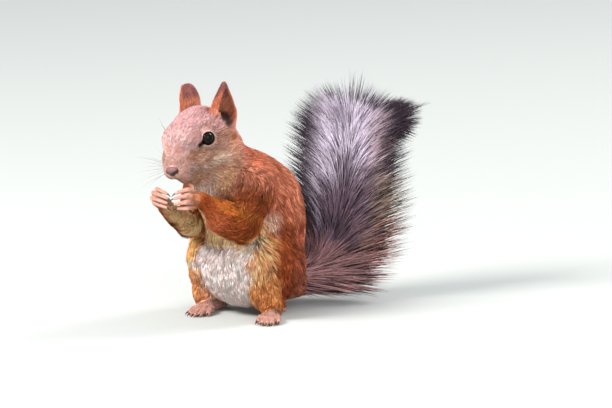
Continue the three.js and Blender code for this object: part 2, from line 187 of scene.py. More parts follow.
AZIMUTH, ELEVATION = math.radians(43), math.radians(10)
TARGET = np.array([12.9, 14.7, 70.6]) + np.array([*((np.array(cad_box[0]) + cad_box[1])[:2] / 2 / MM), 0])
DISTANCE = 4000.0
SHOWN_WIDTH = 410.0  # what the picture takes in from side to side, at the target


def set_camera():
    back = Vector(
        (
            math.sin(AZIMUTH) * math.cos(ELEVATION),
            -math.cos(AZIMUTH) * math.cos(ELEVATION),
            math.sin(ELEVATION),
        )
    )
    camera = new_object("camera", bpy.data.cameras.new("camera"))
    camera.location = (Vector(TARGET) + back * DISTANCE) * MM
    camera.rotation_euler = back.to_track_quat("Z", "Y").to_euler()
    camera.data.lens = camera.data.sensor_width * DISTANCE / SHOWN_WIDTH
    camera.data.clip_end = 50
    bpy.context.scene.camera = camera


def add_lamp(name, place, size, watts, colour):
    lamp = new_object(name, bpy.data.lights.new(name, "AREA"))
    lamp.location = Vector(place) * MM
    lamp.rotation_euler = (lamp.location - Vector((0, 0, 0.08))).to_track_quat("Z", "Y").to_euler()
    lamp.data.shape = "DISK"
    lamp.data.size = size * MM
    lamp.data.energy = watts
    lamp.data.color = colour


def set_sockets(node, **values):
    """Sets a node's sockets by their names, each space in a name written as _."""
    for socket, value in values.items():
        node.inputs[socket.replace("_", " ")].default_value = value
    return node


def new_material(name, **values):
    """A material, its nodes and links, and its shader with those values in its sockets."""
    material = bpy.data.materials.new(name)
    material.use_nodes = True
    nodes, links = material.node_tree.nodes, material.node_tree.links
    return material, nodes, links, set_sockets(nodes["Principled BSDF"], **values)


def set_world():
    """Soft light from all round, seen as a pale backdrop."""
    world = bpy.data.worlds.new("studio")
    bpy.context.scene.world = world
    world.use_nodes = True
    nodes, links = world.node_tree.nodes, world.node_tree.links
    nodes.clear()
    out = nodes.new("ShaderNodeOutputWorld")
    soft, pale = nodes.new("ShaderNodeBackground"), nodes.new("ShaderNodeBackground")
    set_sockets(soft, Color=(0.86, 0.93, 1.0, 1), Strength=0.8)
    set_sockets(pale, Color=(0.86, 0.87, 0.85, 1), Strength=1.0)
    mix = nodes.new("ShaderNodeMixShader")
    path = nodes.new("ShaderNodeLightPath")
    seen = path.outputs["Is Camera Ray"]
    for also in ("Is Glossy Ray", "Is Transmission Ray"):
        either = nodes.new("ShaderNodeMath")
        either.operation = "MAXIMUM"
        links.new(seen, either.inputs[0])
        links.new(path.outputs[also], either.inputs[1])
        seen = either.outputs[0]
    for output, socket in ((seen, 0), (soft.outputs[0], 1), (pale.outputs[0], 2)):
        links.new(output, mix.inputs[socket])
    links.new(mix.outputs[0], out.inputs["Surface"])


def set_stage():
    bpy.context.scene.view_settings.view_transform = "Standard"
    set_world()
    add_lamp("key", (-500, -1650, 1400), 900, 76, (1.0, 0.98, 0.96))
    add_lamp("fill", (1500, -900, 800), 1200, 16, (0.97, 0.98, 1.0))
    add_lamp("back", (500, 1600, 1700), 900, 36, (1.0, 0.98, 0.96))

    bpy.ops.mesh.primitive_plane_add(size=12)
    floor = bpy.context.object
    floor.name = "floor"
    floor.data.materials.append(new_material("floor", Base_Color=(0.47, 0.48, 0.46, 1), Roughness=0.9)[0])


# ---- The distance field that the skin is drawn from ----


def ruler(lo, hi, fine_lo, fine_hi, coarse, fine):
    """Grid lines along one axis, close together between fine_lo and fine_hi."""
    runs = ((lo, fine_lo, coarse), (fine_lo, fine_hi, fine), (fine_hi, hi, coarse))
    return np.concatenate([np.arange(*run) for run in runs]).astype(np.float32)


def smooth_min(a, b, soft):
    """The lesser of two fields, rounded off where they are within soft of each other."""
    h = np.maximum(soft - np.abs(a - b), 0) / soft
    return np.minimum(a, b) - h * h * soft / 4


def segment_near(x, y, z, a, b):
    """How far each point is from the segment a to b, and how far along it the nearest place is."""
    along = b - a
    t = ((x - a[0]) * along[0] + (y - a[1]) * along[1] + (z - a[2]) * along[2]) / along.dot(along)
    t = np.clip(t, 0, 1)
    dx, dy, dz = (v - p - t * d for v, p, d in zip((x, y, z), a, along))
    return np.sqrt(dx * dx + dy * dy + dz * dz), t


def limb(a, b, ra, rb):
    """A rounded limb: its field and its box."""

    def field(x, y, z):
        d, t = segment_near(x, y, z, a, b)
        return d - (ra + (rb - ra) * t)

    r = max(ra, rb)
    return field, np.minimum(a, b) - r, np.maximum(a, b) + r


def ball(middle, halves, turn=HEAD):
    """An ellipsoid whose axes are the columns of turn: its field and its box."""
    halves = np.array(halves, float)

    def field(x, y, z):
        dx, dy, dz = x - middle[0], y - middle[1], z - middle[2]
        near, slope = 0, 0
        for axis, half in zip(turn.T, halves):
            q = (dx * axis[0] + dy * axis[1] + dz * axis[2]) / half
            near = near + q * q
            slope = slope + (q / half) ** 2
        near = np.sqrt(near)
        return near * (near - 1) / np.sqrt(np.maximum(slope, 1e-9))

    reach = np.abs(turn) @ halves
    return field, middle - reach, middle + reach


class Clay:
    """A field over the whole animal that shapes are joined to or cut from."""

    def __init__(self, rulers, field):
        self.rulers = rulers
        self.field = field

    def touch(self, shape, soft, cut):
        near, lo, hi = shape
        spans = []
        for marks, low, high in zip(self.rulers, lo - soft - 2.5, hi + soft + 2.5):
            spans.append(slice(*np.searchsorted(marks, (low, high))))
        x, y, z = (
            marks[span].reshape(form)
            for marks, span, form in zip(self.rulers, spans, ((-1, 1, 1), (1, -1, 1), (1, 1, -1)))
        )
        block = self.field[tuple(spans)]
        if block.size:
            d = near(x, y, z)
            block[...] = -smooth_min(-block, d, soft) if cut else smooth_min(block, d, soft)

    def join(self, shape, soft=1.0):
        self.touch(shape, soft, False)

    def cut(self, shape, soft=0.6):
        self.touch(shape, soft, True)


def cad_polygons(names):
    """The triangles of several CAD nodes together."""
    points, triangles, count = [], [], 0
    for name in names:
        p, t = read_mesh(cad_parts[name].data)
        points.append(p)
        triangles.append(t + count)
        count += len(p)
    return np.concatenate(points), np.concatenate(triangles)


TRUNK_NODES = ["head", "neck", "chest", "haunches"]
TRUNK_NODES += [f"{part}_{side}" for part in ("thigh", "shank", "upper_arm") for side in SIDE_NAME.values()]


def blur(field, times):
    """Smooths a field by about a step for each time, along each axis."""
    for axis in range(3):
        for _ in range(times):
            low = np.concatenate([np.take(field, [0], axis), np.delete(field, -1, axis)], axis)
            high = np.concatenate([np.delete(field, 0, axis), np.take(field, [-1], axis)], axis)
            field = (low + 2 * field + high) / 4
    return field


def trunk_field(rulers, step=1.0, swell=1.2):
    """Distance to the trunk's CAD solids, smoothed, and swollen for a while to join across their cuts."""
    points, triangles = cad_polygons(TRUNK_NODES)
    transform = openvdb.createLinearTransform(step)
    level_set = openvdb.FloatGrid.createLevelSetFromPolygons
    apart = level_set(points, triangles=triangles, transform=transform, halfWidth=4)
    points, quads = apart.convertToQuads(isovalue=swell)
    whole = level_set(points, quads=quads, transform=transform, halfWidth=14)
    first = [int(math.floor(marks[0] / step)) - 1 for marks in rulers]
    counts = [int(math.ceil(marks[-1] / step)) - n + 2 for marks, n in zip(rulers, first)]
    field = np.empty(counts, np.float32)
    whole.copyToArray(field, ijk=tuple(first))
    field = blur(field + swell, 8)
    for axis, marks in enumerate(rulers):
        place = marks / step - first[axis]
        below = place.astype(int)
        share = (place - below).reshape([-1 if n == axis else 1 for n in range(3)]).astype(np.float32)
        field = np.take(field, below, axis) * (1 - share) + np.take(field, below + 1, axis) * share
    return field


# ---- Modelling the flesh under the coat ----


def head_ball(x, y, z, halves):
    return ball(on_head(x, y, z), halves)


LID = 0.9  # how far the lids stand out from an eyeball
LIP = [  # the line of the mouth on the head, from the middle to the left corner
    (0, -25.2, -14.8),
    (3.4, -22.6, -16.0),
    (6.3, -18.0, -16.4),
    (8.3, -13.5, -15.4),
    (9.3, -10, -14.6),
]


def model_head(clay):
    """Neck and head, then the eye sockets with their lids, and the mouth."""
    clay.join(limb(NAPE, on_head(0, 13, -4), 18.5, 14.5), 7)  # neck
    clay.join(head_ball(0, 13, -0.5, [16.3, 18.0, 14.3]), 5)  # braincase
    clay.join(head_ball(0, -3, 3.4, [13.6, 15.2, 10.6]), 5)  # forehead
    clay.join(limb(on_head(0, -4, -4.3), on_head(0, -20.8, -8.2), 11.5, 6.4), 4)  # muzzle
    clay.join(limb(on_head(0, 1, -22), on_head(0, -15.0, -18.2), 8.6, 3.6), 4)  # jaw
    for s in SIDES:
        clay.join(head_ball(9.2 * s, 5, -8.7, [8.4, 13, 9.8]), 5)  # cheek
        clay.join(head_ball(7.2 * s, -10, -7.5, [7.0, 10, 8.5]), 4)  # under the eye
        clay.join(head_ball(4.1 * s, -18.8, -10.4, [5.6, 7.1, 6.0]), 2.5)  # pad of the whiskers
    for s in SIDES:
        axis = eye_axis(s)
        clay.join(ball(EYE[s], [EYE_RADIUS + LID] * 3), 2.5)
        clay.cut(limb(EYE[s] + axis * 2.4, EYE[s] + axis * 14, 4.5, 4.9), 0.4)
        clay.cut(limb(EYE[s] + axis * 4.8, tear_of(s), 3.4, 0.6), 0.4)
        clay.cut(ball(EYE[s], [EYE_RADIUS + 0.15] * 3), 0.2)
    for s in SIDES:
        points = [on_head(x * s, y, z) for x, y, z in LIP]
        for a, b in zip(points, points[1:]):
            clay.cut(limb(a, b, 1.0, 0.7), 0.5)
    clay.cut(limb(on_head(0, -26.4, -9.6), on_head(0, -25.4, -14.0), 0.35, 0.5), 0.5)  # under the nose


def eye_axis(s):
    """The way an eye looks."""
    return HEAD @ unit(np.array([0.84 * s, -0.52, 0.14]))


def tear_of(s):
    """The front corner of an eye."""
    return EYE[s] + HEAD @ np.array([-1.2 * s, -9.0, -1.0])


def tear_gap(p, s):
    """How far points are from the bare skin in the front corner of an eye."""
    return segment_near(*p.T, EYE[s] + eye_axis(s) * 4.5, tear_of(s))[0]


EAR_SHARES = [0, 0.08, 0.27, 0.5, 0.6, 0.8, 0.9, 1.0]  # places from foot to tip
EAR_OUTLINE = {  # how wide each ear is there, where 1 is EAR_HALF_WIDE to each side
    1: [0.9, 0.95, 0.93, 0.73, 0.59, 0.34, 0.22, 0.1],
    -1: [0.95, 1.0, 1.07, 1.08, 1.05, 0.88, 0.70, 0.42],
}
EAR_LONG = {1: 22.0, -1: 20.6}
EAR_HALF_WIDE = 9.0
EAR_WALL = 1.0  # how thick it is at its rim
EAR_FOOT = {1: 14.2, -1: -12.4}  # how far to the left on the head each ear stands
EAR_OPENS = math.radians(72)  # how far the opening of an ear is turned outwards from straight ahead
EAR_LEAN = 0.07  # how far it leans that way, for its length


def ear_frame(s):
    """The foot of an ear, and as columns the directions of its width, its opening and its tip."""
    yaw = math.atan2(AHEAD[0], -AHEAD[1]) + EAR_OPENS * s
    opening = np.array([math.sin(yaw), -math.cos(yaw), 0])
    tip = unit(np.array([0, 0, 1]) + opening * EAR_LEAN)
    opening = unit(opening - opening.dot(tip) * tip)
    foot = on_head(EAR_FOOT[s], 26.3, 5.7)
    return foot, np.column_stack([np.cross(opening, tip), opening, tip])


def model_ear(clay, s):
    """An ear built up of flat rounds from foot to tip, buttressed at its foot and hollowed in front."""
    foot, turn = ear_frame(s)

    def on_ear(x, y, z):
        return foot + turn @ np.array([x, y, z])

    def half_wide(t):
        return np.interp(t, EAR_SHARES, EAR_OUTLINE[s]) * EAR_HALF_WIDE

    for t in np.linspace(-0.12, 0.93, 22):
        wide = half_wide(t)
        middle = on_ear(0, -2.0 * max(0.15 - t, 0) * 6, t * EAR_LONG[s])
        clay.join(ball(middle, [wide, 0.72 * wide, 1.8], turn), 3.0 if t < 0.12 else 1.0)
    clay.join(limb(on_head(12.9 * s, 24.5, -2), on_head(14.0 * s, 26, -15), 5.4, 6.6), 4)
    clay.join(limb(on_ear(-7 * s, 0.5, 2), on_ear(-6 * s, 0.5, -6), 2.6, 3.0), 3)
    clay.join(limb(on_ear(7.5 * s, 0.5, 3.5), on_ear(8.5 * s, 0, -6), 2.0, 4.6), 3)
    for t in np.linspace(-0.1, 0.92, 26):
        wide = half_wide(t) - EAR_WALL - 12 * max(0.12 - t, 0)
        middle = on_ear(0, 3.0 + 8 * max(0.12 - t, 0), t * EAR_LONG[s] - 0.6)
        clay.cut(ball(middle, [0.94 * wide, 0.82 * wide, 1.8], turn), 0.5)
    clay.cut(limb(on_ear(1.5 * s, 4.5, 2), on_ear(1.5 * s, 5.5, -4), 3.2, 1.5), 1.0)


FINGERS = {  # root, knuckle and tip, from the wrist: towards the other hand, up, to the front
    1: [
        ((1.5, 4.9, 1.1), (5.6, 9.6, 7.3), (12.7, 8.8, 9.3)),
        ((1.7, 2.0, 2.6), (6.3, 6.0, 10.1), (14.2, 5.8, 11.1)),
        ((2.6, -0.8, 3.2), (7.2, 1.8, 10.8), (14.5, 2.3, 11.6)),
        ((3.7, -3.1, 2.7), (7.9, -2.2, 9.3), (13.7, -1.3, 9.6)),
    ],
    -1: [
        ((-1.4, 7.9, 1.8), (-1.0, 13.9, 6.3), (6.5, 10.0, 10.5)),
        ((-2.4, 6.1, 2.3), (-3.4, 12.3, 8.3), (6.9, 7.2, 12.8)),
        ((-2.9, 3.8, 2.7), (-4.8, 9.1, 9.1), (5.9, 4.2, 13.5)),
        ((-2.7, 1.4, 2.9), (-4.4, 5.4, 8.3), (4.6, 1.3, 12.6)),
    ],
}


def digits_of_hand(s):
    """For each finger, its root, knuckle and tip."""
    aside = unit(WRIST[-s] - WRIST[s])
    up = unit(np.array([0, 0, 1]) - aside[2] * aside)
    turn = np.column_stack([aside, up, np.cross(up, aside) * s])
    return [tuple(WRIST[s] + turn @ np.array(place) for place in finger) for finger in FINGERS[s]]


SHIN_FOOT = {1: (29.5, -12.5, 12), -1: (-22.5, -19, 11)}  # where the front of each lower leg ends
FOOT_TURN = {1: math.radians(34), -1: math.radians(16)}  # to the left of straight ahead
SOLE_LONG = 23  # from the heel to the roots of the toes
TOE_LONG, TOE_SHORTER = 15.82, 1.61  # the middle toe, and how much less its neighbours have
TOE_APART = 2.4


def digits_of_foot(s):
    """For each toe, its root, knuckle and tip; the middle one is the longest."""
    turn = FOOT_TURN[s]
    ahead = np.array([math.sin(turn), -math.cos(turn), 0])
    across = np.array([math.cos(turn), math.sin(turn), 0])
    sole = HEEL[s] + ahead * SOLE_LONG
    toes = []
    for n in range(-2, 3):
        long = TOE_LONG - TOE_SHORTER * n * n
        root = sole + across * n * TOE_APART
        root[2] = 3.1
        tip = root + ahead * long + across * n * 1.1
        tip[2] = 1.75
        bend = lerp(root, tip, 0.5) + (0, 0, 0.9)
        toes.append((root, bend, tip))
    return toes


ARM_RADII = {  # at the shoulder, the elbow, the middle of the forearm, near the wrist and at the wrist
    1: (11.5, 9.4, 9.8, 5.4, 3.9),
    -1: (9.0, 5.6, 5.0, 4.4, 3.9),
}
FOREARM_SAG = {1: (-0.7, -1.0, -1.6), -1: (0, 0, 0)}  # how far its middle is off the straight


def model_limbs(clay):
    """Arms, hands, lower legs and feet, with their fingers and toes."""
    for s in SIDES:
        middle = lerp(ELBOW[s], WRIST[s], 0.45) + FOREARM_SAG[s]
        near_wrist = lerp(ELBOW[s], WRIST[s], 0.74) + (0, 0, -0.8)
        joints, radii = (SHOULDER[s], ELBOW[s], middle, near_wrist, WRIST[s]), ARM_RADII[s]
        for a, b, ra, rb, soft in zip(joints, joints[1:], radii, radii[1:], (5, 3, 2, 2)):
            clay.join(limb(a, b, ra, rb), soft)
        clay.join(limb(WRIST[s], KNUCKLES[s], 3.5, 2.7), 2)
        for root, bend, tip in digits_of_hand(s):
            clay.join(limb(root, bend, 1.5, 1.35), 0.7)
            clay.join(limb(bend, tip, 1.35, 0.95), 0.3)
        clay.join(limb(KNEE[s] + (0, -2, -6), on_body(*SHIN_FOOT[s]), 9.5, 6.2), 5)
        toes = digits_of_foot(s)
        roots = toes[2][0]
        clay.join(limb(HEEL[s] + (0, 0, -0.6), roots + (0, 0, 0.6), 4.6, 3.6), 2.5)
        clay.join(limb(HEEL[s] + (0, 0, 9), HEEL[s], 5.5, 4.8), 3)
        for root, bend, tip in toes:
            clay.join(limb(root, bend, 2.0, 1.75), 1.0)
            clay.join(limb(bend, tip, 1.75, 1.5), 0.6)


def model_tail(clay):
    for line, thick, thin in ((BRUSH, 7.0, 2.4), (CURL, 2.8, 1.8)):
        radii = np.linspace(thick, thin, len(line))
        for a, b, ra, rb in zip(line, line[1:], radii, radii[1:]):
            clay.join(limb(a, b, ra, rb), 3)


def model_skin():
    """One closed skin over the whole animal, as vertices and four-sided faces in millimetres.

    The trunk's CAD solids give the outline of the coat, so the skin lies inside them by its depth.
    """
    lo, hi = (np.array(corner) / MM for corner in cad_box)
    rulers = (
        ruler(lo[0] - 3, hi[0] + 3, *np.sort([on_head(-21, 0, 0)[0], on_head(22, 0, 0)[0]]), 1.0, 0.5),
        ruler(lo[1] - 3, hi[1] + 3, lo[1] - 1, -40, 1.0, 0.5),
        ruler(-3, hi[2] + 3, 80, hi[2], 1.0, 0.5),
    )
    field = trunk_field(rulers)
    x, y, z = rulers[0][:, None, None], rulers[1][None, :, None], rulers[2][None, None, :]

    def far_from(place):
        return np.sqrt((x - place[0]) ** 2 + (y - place[1]) ** 2 + (z - place[2]) ** 2)

    field += lerp(2.6, 5.3, smoothstep(24, 58, far_from(HEAD_AT))).astype(np.float32)
    fold = MIDDLE[2] + 46 + 0.01 * (x - MIDDLE[0]) ** 2  # the crease under the chest
    front = smoothstep(MIDDLE[1] - 8, MIDDLE[1] - 26, y)
    field += (3.0 * front * np.exp(-(((z - fold) / 4.0) ** 2))).astype(np.float32)
    full = smoothstep(MIDDLE[1] + 12, MIDDLE[1] + 30, y) * smoothstep(40, 60, z) * smoothstep(100, 84, z)
    field -= (2.2 * full).astype(np.float32)  # the round of the back
    hollow = on_head(16, 34, -24)  # on the left of the nape
    field += (2.6 * smoothstep(24, 8, far_from(hollow))).astype(np.float32)
    clay = Clay(rulers, field)
    model_tail(clay)
    model_limbs(clay)
    model_head(clay)
    for s in SIDES:
        model_ear(clay, s)
    clay.field = np.maximum(clay.field, 0.15 - z)
    return surface_of(clay)


def surface_of(clay):
    """The closed surface where a field is nought, as vertices and four-sided faces."""
    grid = openvdb.FloatGrid(9.0)
    grid.copyFromArray(np.clip(clay.field, -9, 9).astype(np.float32))
    points, quads = grid.convertToQuads(isovalue=0)
    columns = zip(points.T, clay.rulers)
    points = np.column_stack([np.interp(column, np.arange(len(marks)), marks) for column, marks in columns])
    return largest_piece(points, quads.astype(np.int64))


def largest_piece(points, quads):
    """The faces that hang together with the most others, turned to face out."""
    owner = np.arange(len(points))
    while True:
        lowest = owner[quads].min(axis=1)
        before = owner.copy()
        for n in range(4):
            np.minimum.at(owner, quads[:, n], lowest)
        owner = owner[owner]
        if (owner == before).all():
            break
    keep = owner[quads[:, 0]] == np.bincount(owner).argmax()
    quads = quads[keep]
    used, quads = np.unique(quads, return_inverse=True)
    points, quads = points[used], quads.reshape(-1, 4)
    a, b, c = (points[quads[:, n]] for n in range(3))
    if np.einsum("ij,ij->i", a, np.cross(b, c)).sum() < 0:
        quads = quads[:, ::-1]
    return points, quads


def make_mesh(name, points, faces):
    """A piece from vertices in millimetres and faces that all have the same number of corners."""
    mesh = bpy.data.meshes.new(name)
    sides = faces.shape[1]
    mesh.vertices.add(len(points))
    mesh.vertices.foreach_set("co", (points * MM).astype(np.float32).ravel())
    mesh.loops.add(faces.size)
    mesh.loops.foreach_set("vertex_index", faces.astype(np.int32).ravel())
    mesh.polygons.add(len(faces))
    mesh.polygons.foreach_set("loop_start", np.arange(0, faces.size, sides, dtype=np.int32))
    mesh.polygons.foreach_set("use_smooth", np.ones(len(faces), bool))
    mesh.update(calc_edges=True)
    return new_object(name, mesh)


def thinned(points, quads, share):
    """The same skin in fewer faces, about that share of its triangles, and where it is bent least."""
    piece = make_mesh("thinned", points, quads)
    piece.modifiers.new("thin", "DECIMATE").ratio = share
    thin = bpy.data.meshes.new_from_object(piece.evaluated_get(bpy.context.evaluated_depsgraph_get()))
    bpy.data.objects.remove(piece)
    points, faces = read_mesh(thin)
    bpy.data.meshes.remove(thin)
    return points, faces


class Unwrap:
    """A flat map of the skin's own shape, laid out once on a coarse copy of it."""

    def __init__(self, points, faces):
        piece = make_mesh("unwrap", points, faces)
        bpy.context.view_layer.objects.active = piece
        piece.select_set(True)
        bpy.ops.object.mode_set(mode="EDIT")
        bpy.ops.mesh.select_all(action="SELECT")
        bpy.ops.uv.smart_project(angle_limit=1.15, island_margin=0.006, scale_to_bounds=True)
        bpy.ops.object.mode_set(mode="OBJECT")
        self.flat = read(piece.data.uv_layers.active.data, "uv", 2).reshape(-1, 3, 2).astype(float)
        bpy.data.objects.remove(piece)
        self.corners = points[faces]
        self.tree = BVHTree.FromPolygons(points.tolist(), faces.tolist())

    def faces_near(self, places):
        return np.array([self.tree.find_nearest(place)[2] for place in places.tolist()])

    def on_face(self, face, places):
        """Where places fall on the map, each carried over by one coarse face."""
        a, b, c = (self.corners[face, n] for n in range(3))
        ab, ac, ap = b - a, c - a, places - a
        d00, d01, d11 = ((x * y).sum(1) for x, y in ((ab, ab), (ab, ac), (ac, ac)))
        d20, d21 = (ap * ab).sum(1), (ap * ac).sum(1)
        under = np.maximum(d00 * d11 - d01 * d01, 1e-12)
        v, w = (d11 * d20 - d01 * d21) / under, (d00 * d21 - d01 * d20) / under
        fa, fb, fc = (self.flat[face, n] for n in range(3))
        return np.clip(fa + v[:, None] * (fb - fa) + w[:, None] * (fc - fa), 0, 1)


def set_map(piece, flat):
    """Gives a piece its OFBake map, from a place for each corner of each face."""
    layer = piece.data.uv_layers.new(name="OFBake")
    layer.data.foreach_set("uv", flat.astype(np.float32).ravel())


def hand_over(piece, material, slot, *nodes):
    """Gives a piece its material, the body it rides on and the CAD nodes it stands for; its slot is not
    used.
    """
    piece.data.materials.append(material)
    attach(piece, "root")
    if nodes:
        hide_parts(*nodes)


# ---- The lie of the coat ----

PARTS = HEAD_PART, TRUNK_PART, ARM_PART, LEG_PART, PAW_PART, EAR_PART, TAIL_PART = range(7)


# Places where the lie of the coat is known: from, to, direction of the lie, tuft length, depth of
# the coat, tuft width, tufts to each square millimetre. One off the middle counts for both sides.
SKULL_LIE = [
    ((0, -27, -5), (0, -15, 1.5), (0, 1, 0.35), 1.8, 0.5, 0.30, 6.5),
    ((0, -8, 12), (0, 4, 14), (0, 1, 0.25), 4.6, 1.3, 0.38, 4.2),
    ((0, 12, 15), (0, 24, 11), (0, 1, -0.25), 6.0, 2.1, 0.42, 3.8),
    ((8, -8, 10), (11, 6, 11), (0.3, 1, 0.15), 4.4, 1.3, 0.38, 4.2),
    ((5, -22, -5), (10, -13, -1), (0.3, 1, 0.1), 2.0, 0.5, 0.30, 6.5),
    ((4, -24, -12), (9, -15, -12), (0.5, 0.8, -0.35), 2.2, 0.6, 0.30, 6.5),
    ((12, -10, -6), (15, 0, -7), (0.3, 1, -0.15), 4.2, 1.2, 0.36, 4.6),
    ((17, 5, -8), (17, 13, -9), (0.15, 1, -0.2), 6.2, 2.1, 0.42, 3.8),
    ((16, 8, 3), (16, 18, 2), (0.15, 1, -0.15), 5.6, 1.7, 0.42, 3.8),
    ((11, 0, -17), (12, 10, -18), (0.1, 1, -0.4), 6.6, 2.3, 0.44, 3.4),
    ((0, -17, -17.5), (0, -5, -20), (0, 1, -0.2), 3.4, 1.0, 0.34, 5),
    ((0, 3, -22), (0, 8, -25), (0, 0.6, -0.8), 6.5, 2.8, 0.44, 4),
    ((0, 29, 3), (0, 31, -6), (0, 0.7, -0.7), 7.5, 3.2, 0.44, 3.8),
]
TRUNK_LIE = [
    ((0, 4, 104), (0, 24, 86), (0, 0.65, -0.75), 9.5, 4.6, 0.54, 2.2),
    ((0, 32, 70), (0, 36, 40), (0, 0.25, -1), 11.5, 5.2, 0.58, 1.9),
    ((0, 36, 25), (0, 40, 14), (0, 0.7, -0.7), 11.0, 5.0, 0.58, 2.1),
    ((21, -18, 101), (25, 0, 96), (0.2, 0.6, -0.8), 9.5, 4.2, 0.52, 2.3),
    ((30, 12, 78), (33, 18, 60), (0, 0.4, -0.92), 11.0, 5.0, 0.58, 2.0),
    ((30, -16, 62), (32, -12, 52), (0, 0.3, -0.95), 9.5, 4.0, 0.52, 2.3),
    ((0, -42, 96), (0, -41, 84), (0, 0.1, -1), 8.0, 3.6, 0.48, 2.4),
    ((0, -40, 72), (0, -34, 58), (0, 0.2, -1), 9.0, 4.2, 0.50, 2.3),
    ((14, -34, 66), (16, -30, 50), (0.15, 0.2, -1), 9.0, 4.2, 0.50, 2.3),
    ((0, -34, 44), (0, -28, 14), (0, 0.15, -1), 11.5, 4.8, 0.50, 2.2),
    ((12, -30, 38), (14, -24, 16), (0.1, 0.1, -1), 11.0, 4.6, 0.50, 2.2),
    ((0, -14, 4), (0, 10, 3), (0, 1, -0.15), 8.0, 3.0, 0.56, 1.6),
]


def guide_rows():
    """All places where the lie is known, each with its part of the body and the radius of its flesh.

    Where the direction of the lie is None, the coat lies from the first place to the second.
    """
    rows = []
    tables = ((HEAD_PART, on_head, HEAD, SKULL_LIE), (TRUNK_PART, on_body, np.eye(3), TRUNK_LIE))
    for part, place, turn, table in tables:
        for a, b, lie, *size in table:
            for s in SIDES if a[0] or b[0] or lie[0] else (1,):
                flip = np.array([s, 1, 1])
                rows.append((part, place(*a * flip), place(*b * flip), 1.0, turn @ (lie * flip), *size))
    for s in SIDES:
        on_arm = (lerp(SHOULDER[s], ELBOW[s], 0.4), ELBOW[s])
        rows.append((ARM_PART, *on_arm, 6.5, None, 8.0, 3.2, 0.46, 2.9))
        rows.append((ARM_PART, ELBOW[s], lerp(ELBOW[s], WRIST[s], 0.5), 6.0, None, 6.2, 2.3, 0.40, 3.6))
        rows.append((ARM_PART, lerp(ELBOW[s], WRIST[s], 0.6), WRIST[s], 4.5, None, 4.0, 1.4, 0.32, 5.5))
        rows.append((PAW_PART, WRIST[s], KNUCKLES[s], 3.2, None, 2.0, 0.6, 0.26, 6))
        for root, _, tip in digits_of_hand(s):
            rows.append((PAW_PART, root, tip, 1.2, None, 1.2, 0.3, 0.20, 4))
        outer = np.array([s * 9.0, -2, 0])
        thigh = (HIP[s] + outer, KNEE[s] + outer * 0.6)
        rows.append((TRUNK_PART, *thigh, 9.0, (0, 0.42, -0.9), 10.5, 4.8, 0.52, 2.4))
        knee = (KNEE[s] + (0, -4, -8), KNEE[s] + (0, 6, -24))
        rows.append((TRUNK_PART, *knee, 9.0, (0, 0.1, -1), 9, 4.0, 0.48, 2.8))
        x, y, z = SHIN_FOOT[s]
        front = (on_body(x + s, y - 3, z + 10), on_body(x, y - 3, z - 2))
        rows.append((TRUNK_PART, *front, 5.0, None, 7, 2.6, 0.44, 3))
        shin = (lerp(KNEE[s], HEEL[s], 0.75), HEEL[s] + (0, 0, 6))
        rows.append((LEG_PART, *shin, 6.0, None, 5.5, 2.2, 0.38, 3.6))
        toes = digits_of_foot(s)
        rows.append((PAW_PART, HEEL[s], toes[2][0], 4.0, None, 2.6, 0.8, 0.28, 6))
        for root, _, tip in toes:
            rows.append((PAW_PART, root, tip, 1.6, None, 1.7, 0.5, 0.22, 6))
        foot, turn = ear_frame(s)
        for side in (-6, 6):
            a = foot + turn @ np.array([side, 0, 3])
            b = foot + turn @ np.array([side * 0.5, 0, 20])
            rows.append((EAR_PART, a, b, 1.5, turn @ (side * 0.05, -0.2, 1), 2.4, 0.8, 0.24, 7))
    for a, b in zip(BRUSH[1:] + CURL, BRUSH[2:] + CURL[1:]):
        rows.append((TAIL_PART, a, b, 4.0, None, 9.0, 3.5, 0.5, 2.5))
    return rows


GUIDES = guide_rows()
EYE_GUARD, NOSE_GUARD = 5.5, 4.0  # how close the coat comes to the middle of an eye and of the nose


def lie_of_coat(p):
    """For each point: the shares of the parts there, the direction of the lie and the tuft sizes."""
    weights, total = [], 0
    for _, a, b, radius, *_ in GUIDES:
        near, _ = segment_near(*p.T, a, b)
        weights.append((1 / np.maximum(near - radius, 0.7) ** 3).astype(np.float32))
        total = total + weights[-1]
    shares = np.zeros((len(PARTS), len(p)), np.float32)
    flow = np.zeros((len(p), 3))
    sizes = np.zeros((4, len(p)))
    for weight, (part, a, b, _, lie, *size) in zip(weights, GUIDES):
        share = weight / total
        shares[part] += share
        flow += share[:, None] * unit(np.asarray(b - a if lie is None else lie, float))
        for n in range(4):
            sizes[n] += share * size[n]
    return shares, flow, sizes


# ---- Markings ----


def shade(*srgb):
    """A colour as light, from the numbers a screen shows it with."""
    c = np.array(srgb) / 255
    return np.where(c < 0.04045, c / 12.92, ((c + 0.055) / 1.055) ** 2.4)


RUST, ORANGE, CHESTNUT = shade(224, 132, 100), shade(182, 88, 40), shade(140, 64, 38)
CREAM, WHITE, BUFF = shade(240, 200, 176), shade(252, 230, 224), shade(230, 186, 140)
ARM, INNER = shade(138, 64, 26), shade(252, 200, 146)
FOREHEAD, FACE, RING = shade(216, 166, 164), shade(228, 182, 178), shade(224, 180, 166)
CHEEK, CHIN, THROAT = shade(192, 140, 110), shade(196, 148, 116), shade(242, 196, 180)
BROW, TEMPLE, PAD = shade(184, 134, 122), shade(180, 132, 114), shade(224, 172, 156)
EAR, EAR_DARK, EAR_INSIDE = shade(206, 130, 100), shade(126, 76, 84), shade(212, 124, 92)
PAW, BRIDGE, STRIPE = shade(236, 180, 162), shade(212, 144, 116), shade(164, 114, 84)
AMBER, GOLD, SLATE, DUSK = shade(250, 170, 106), shade(180, 102, 40), shade(120, 96, 100), shade(88, 62, 58)


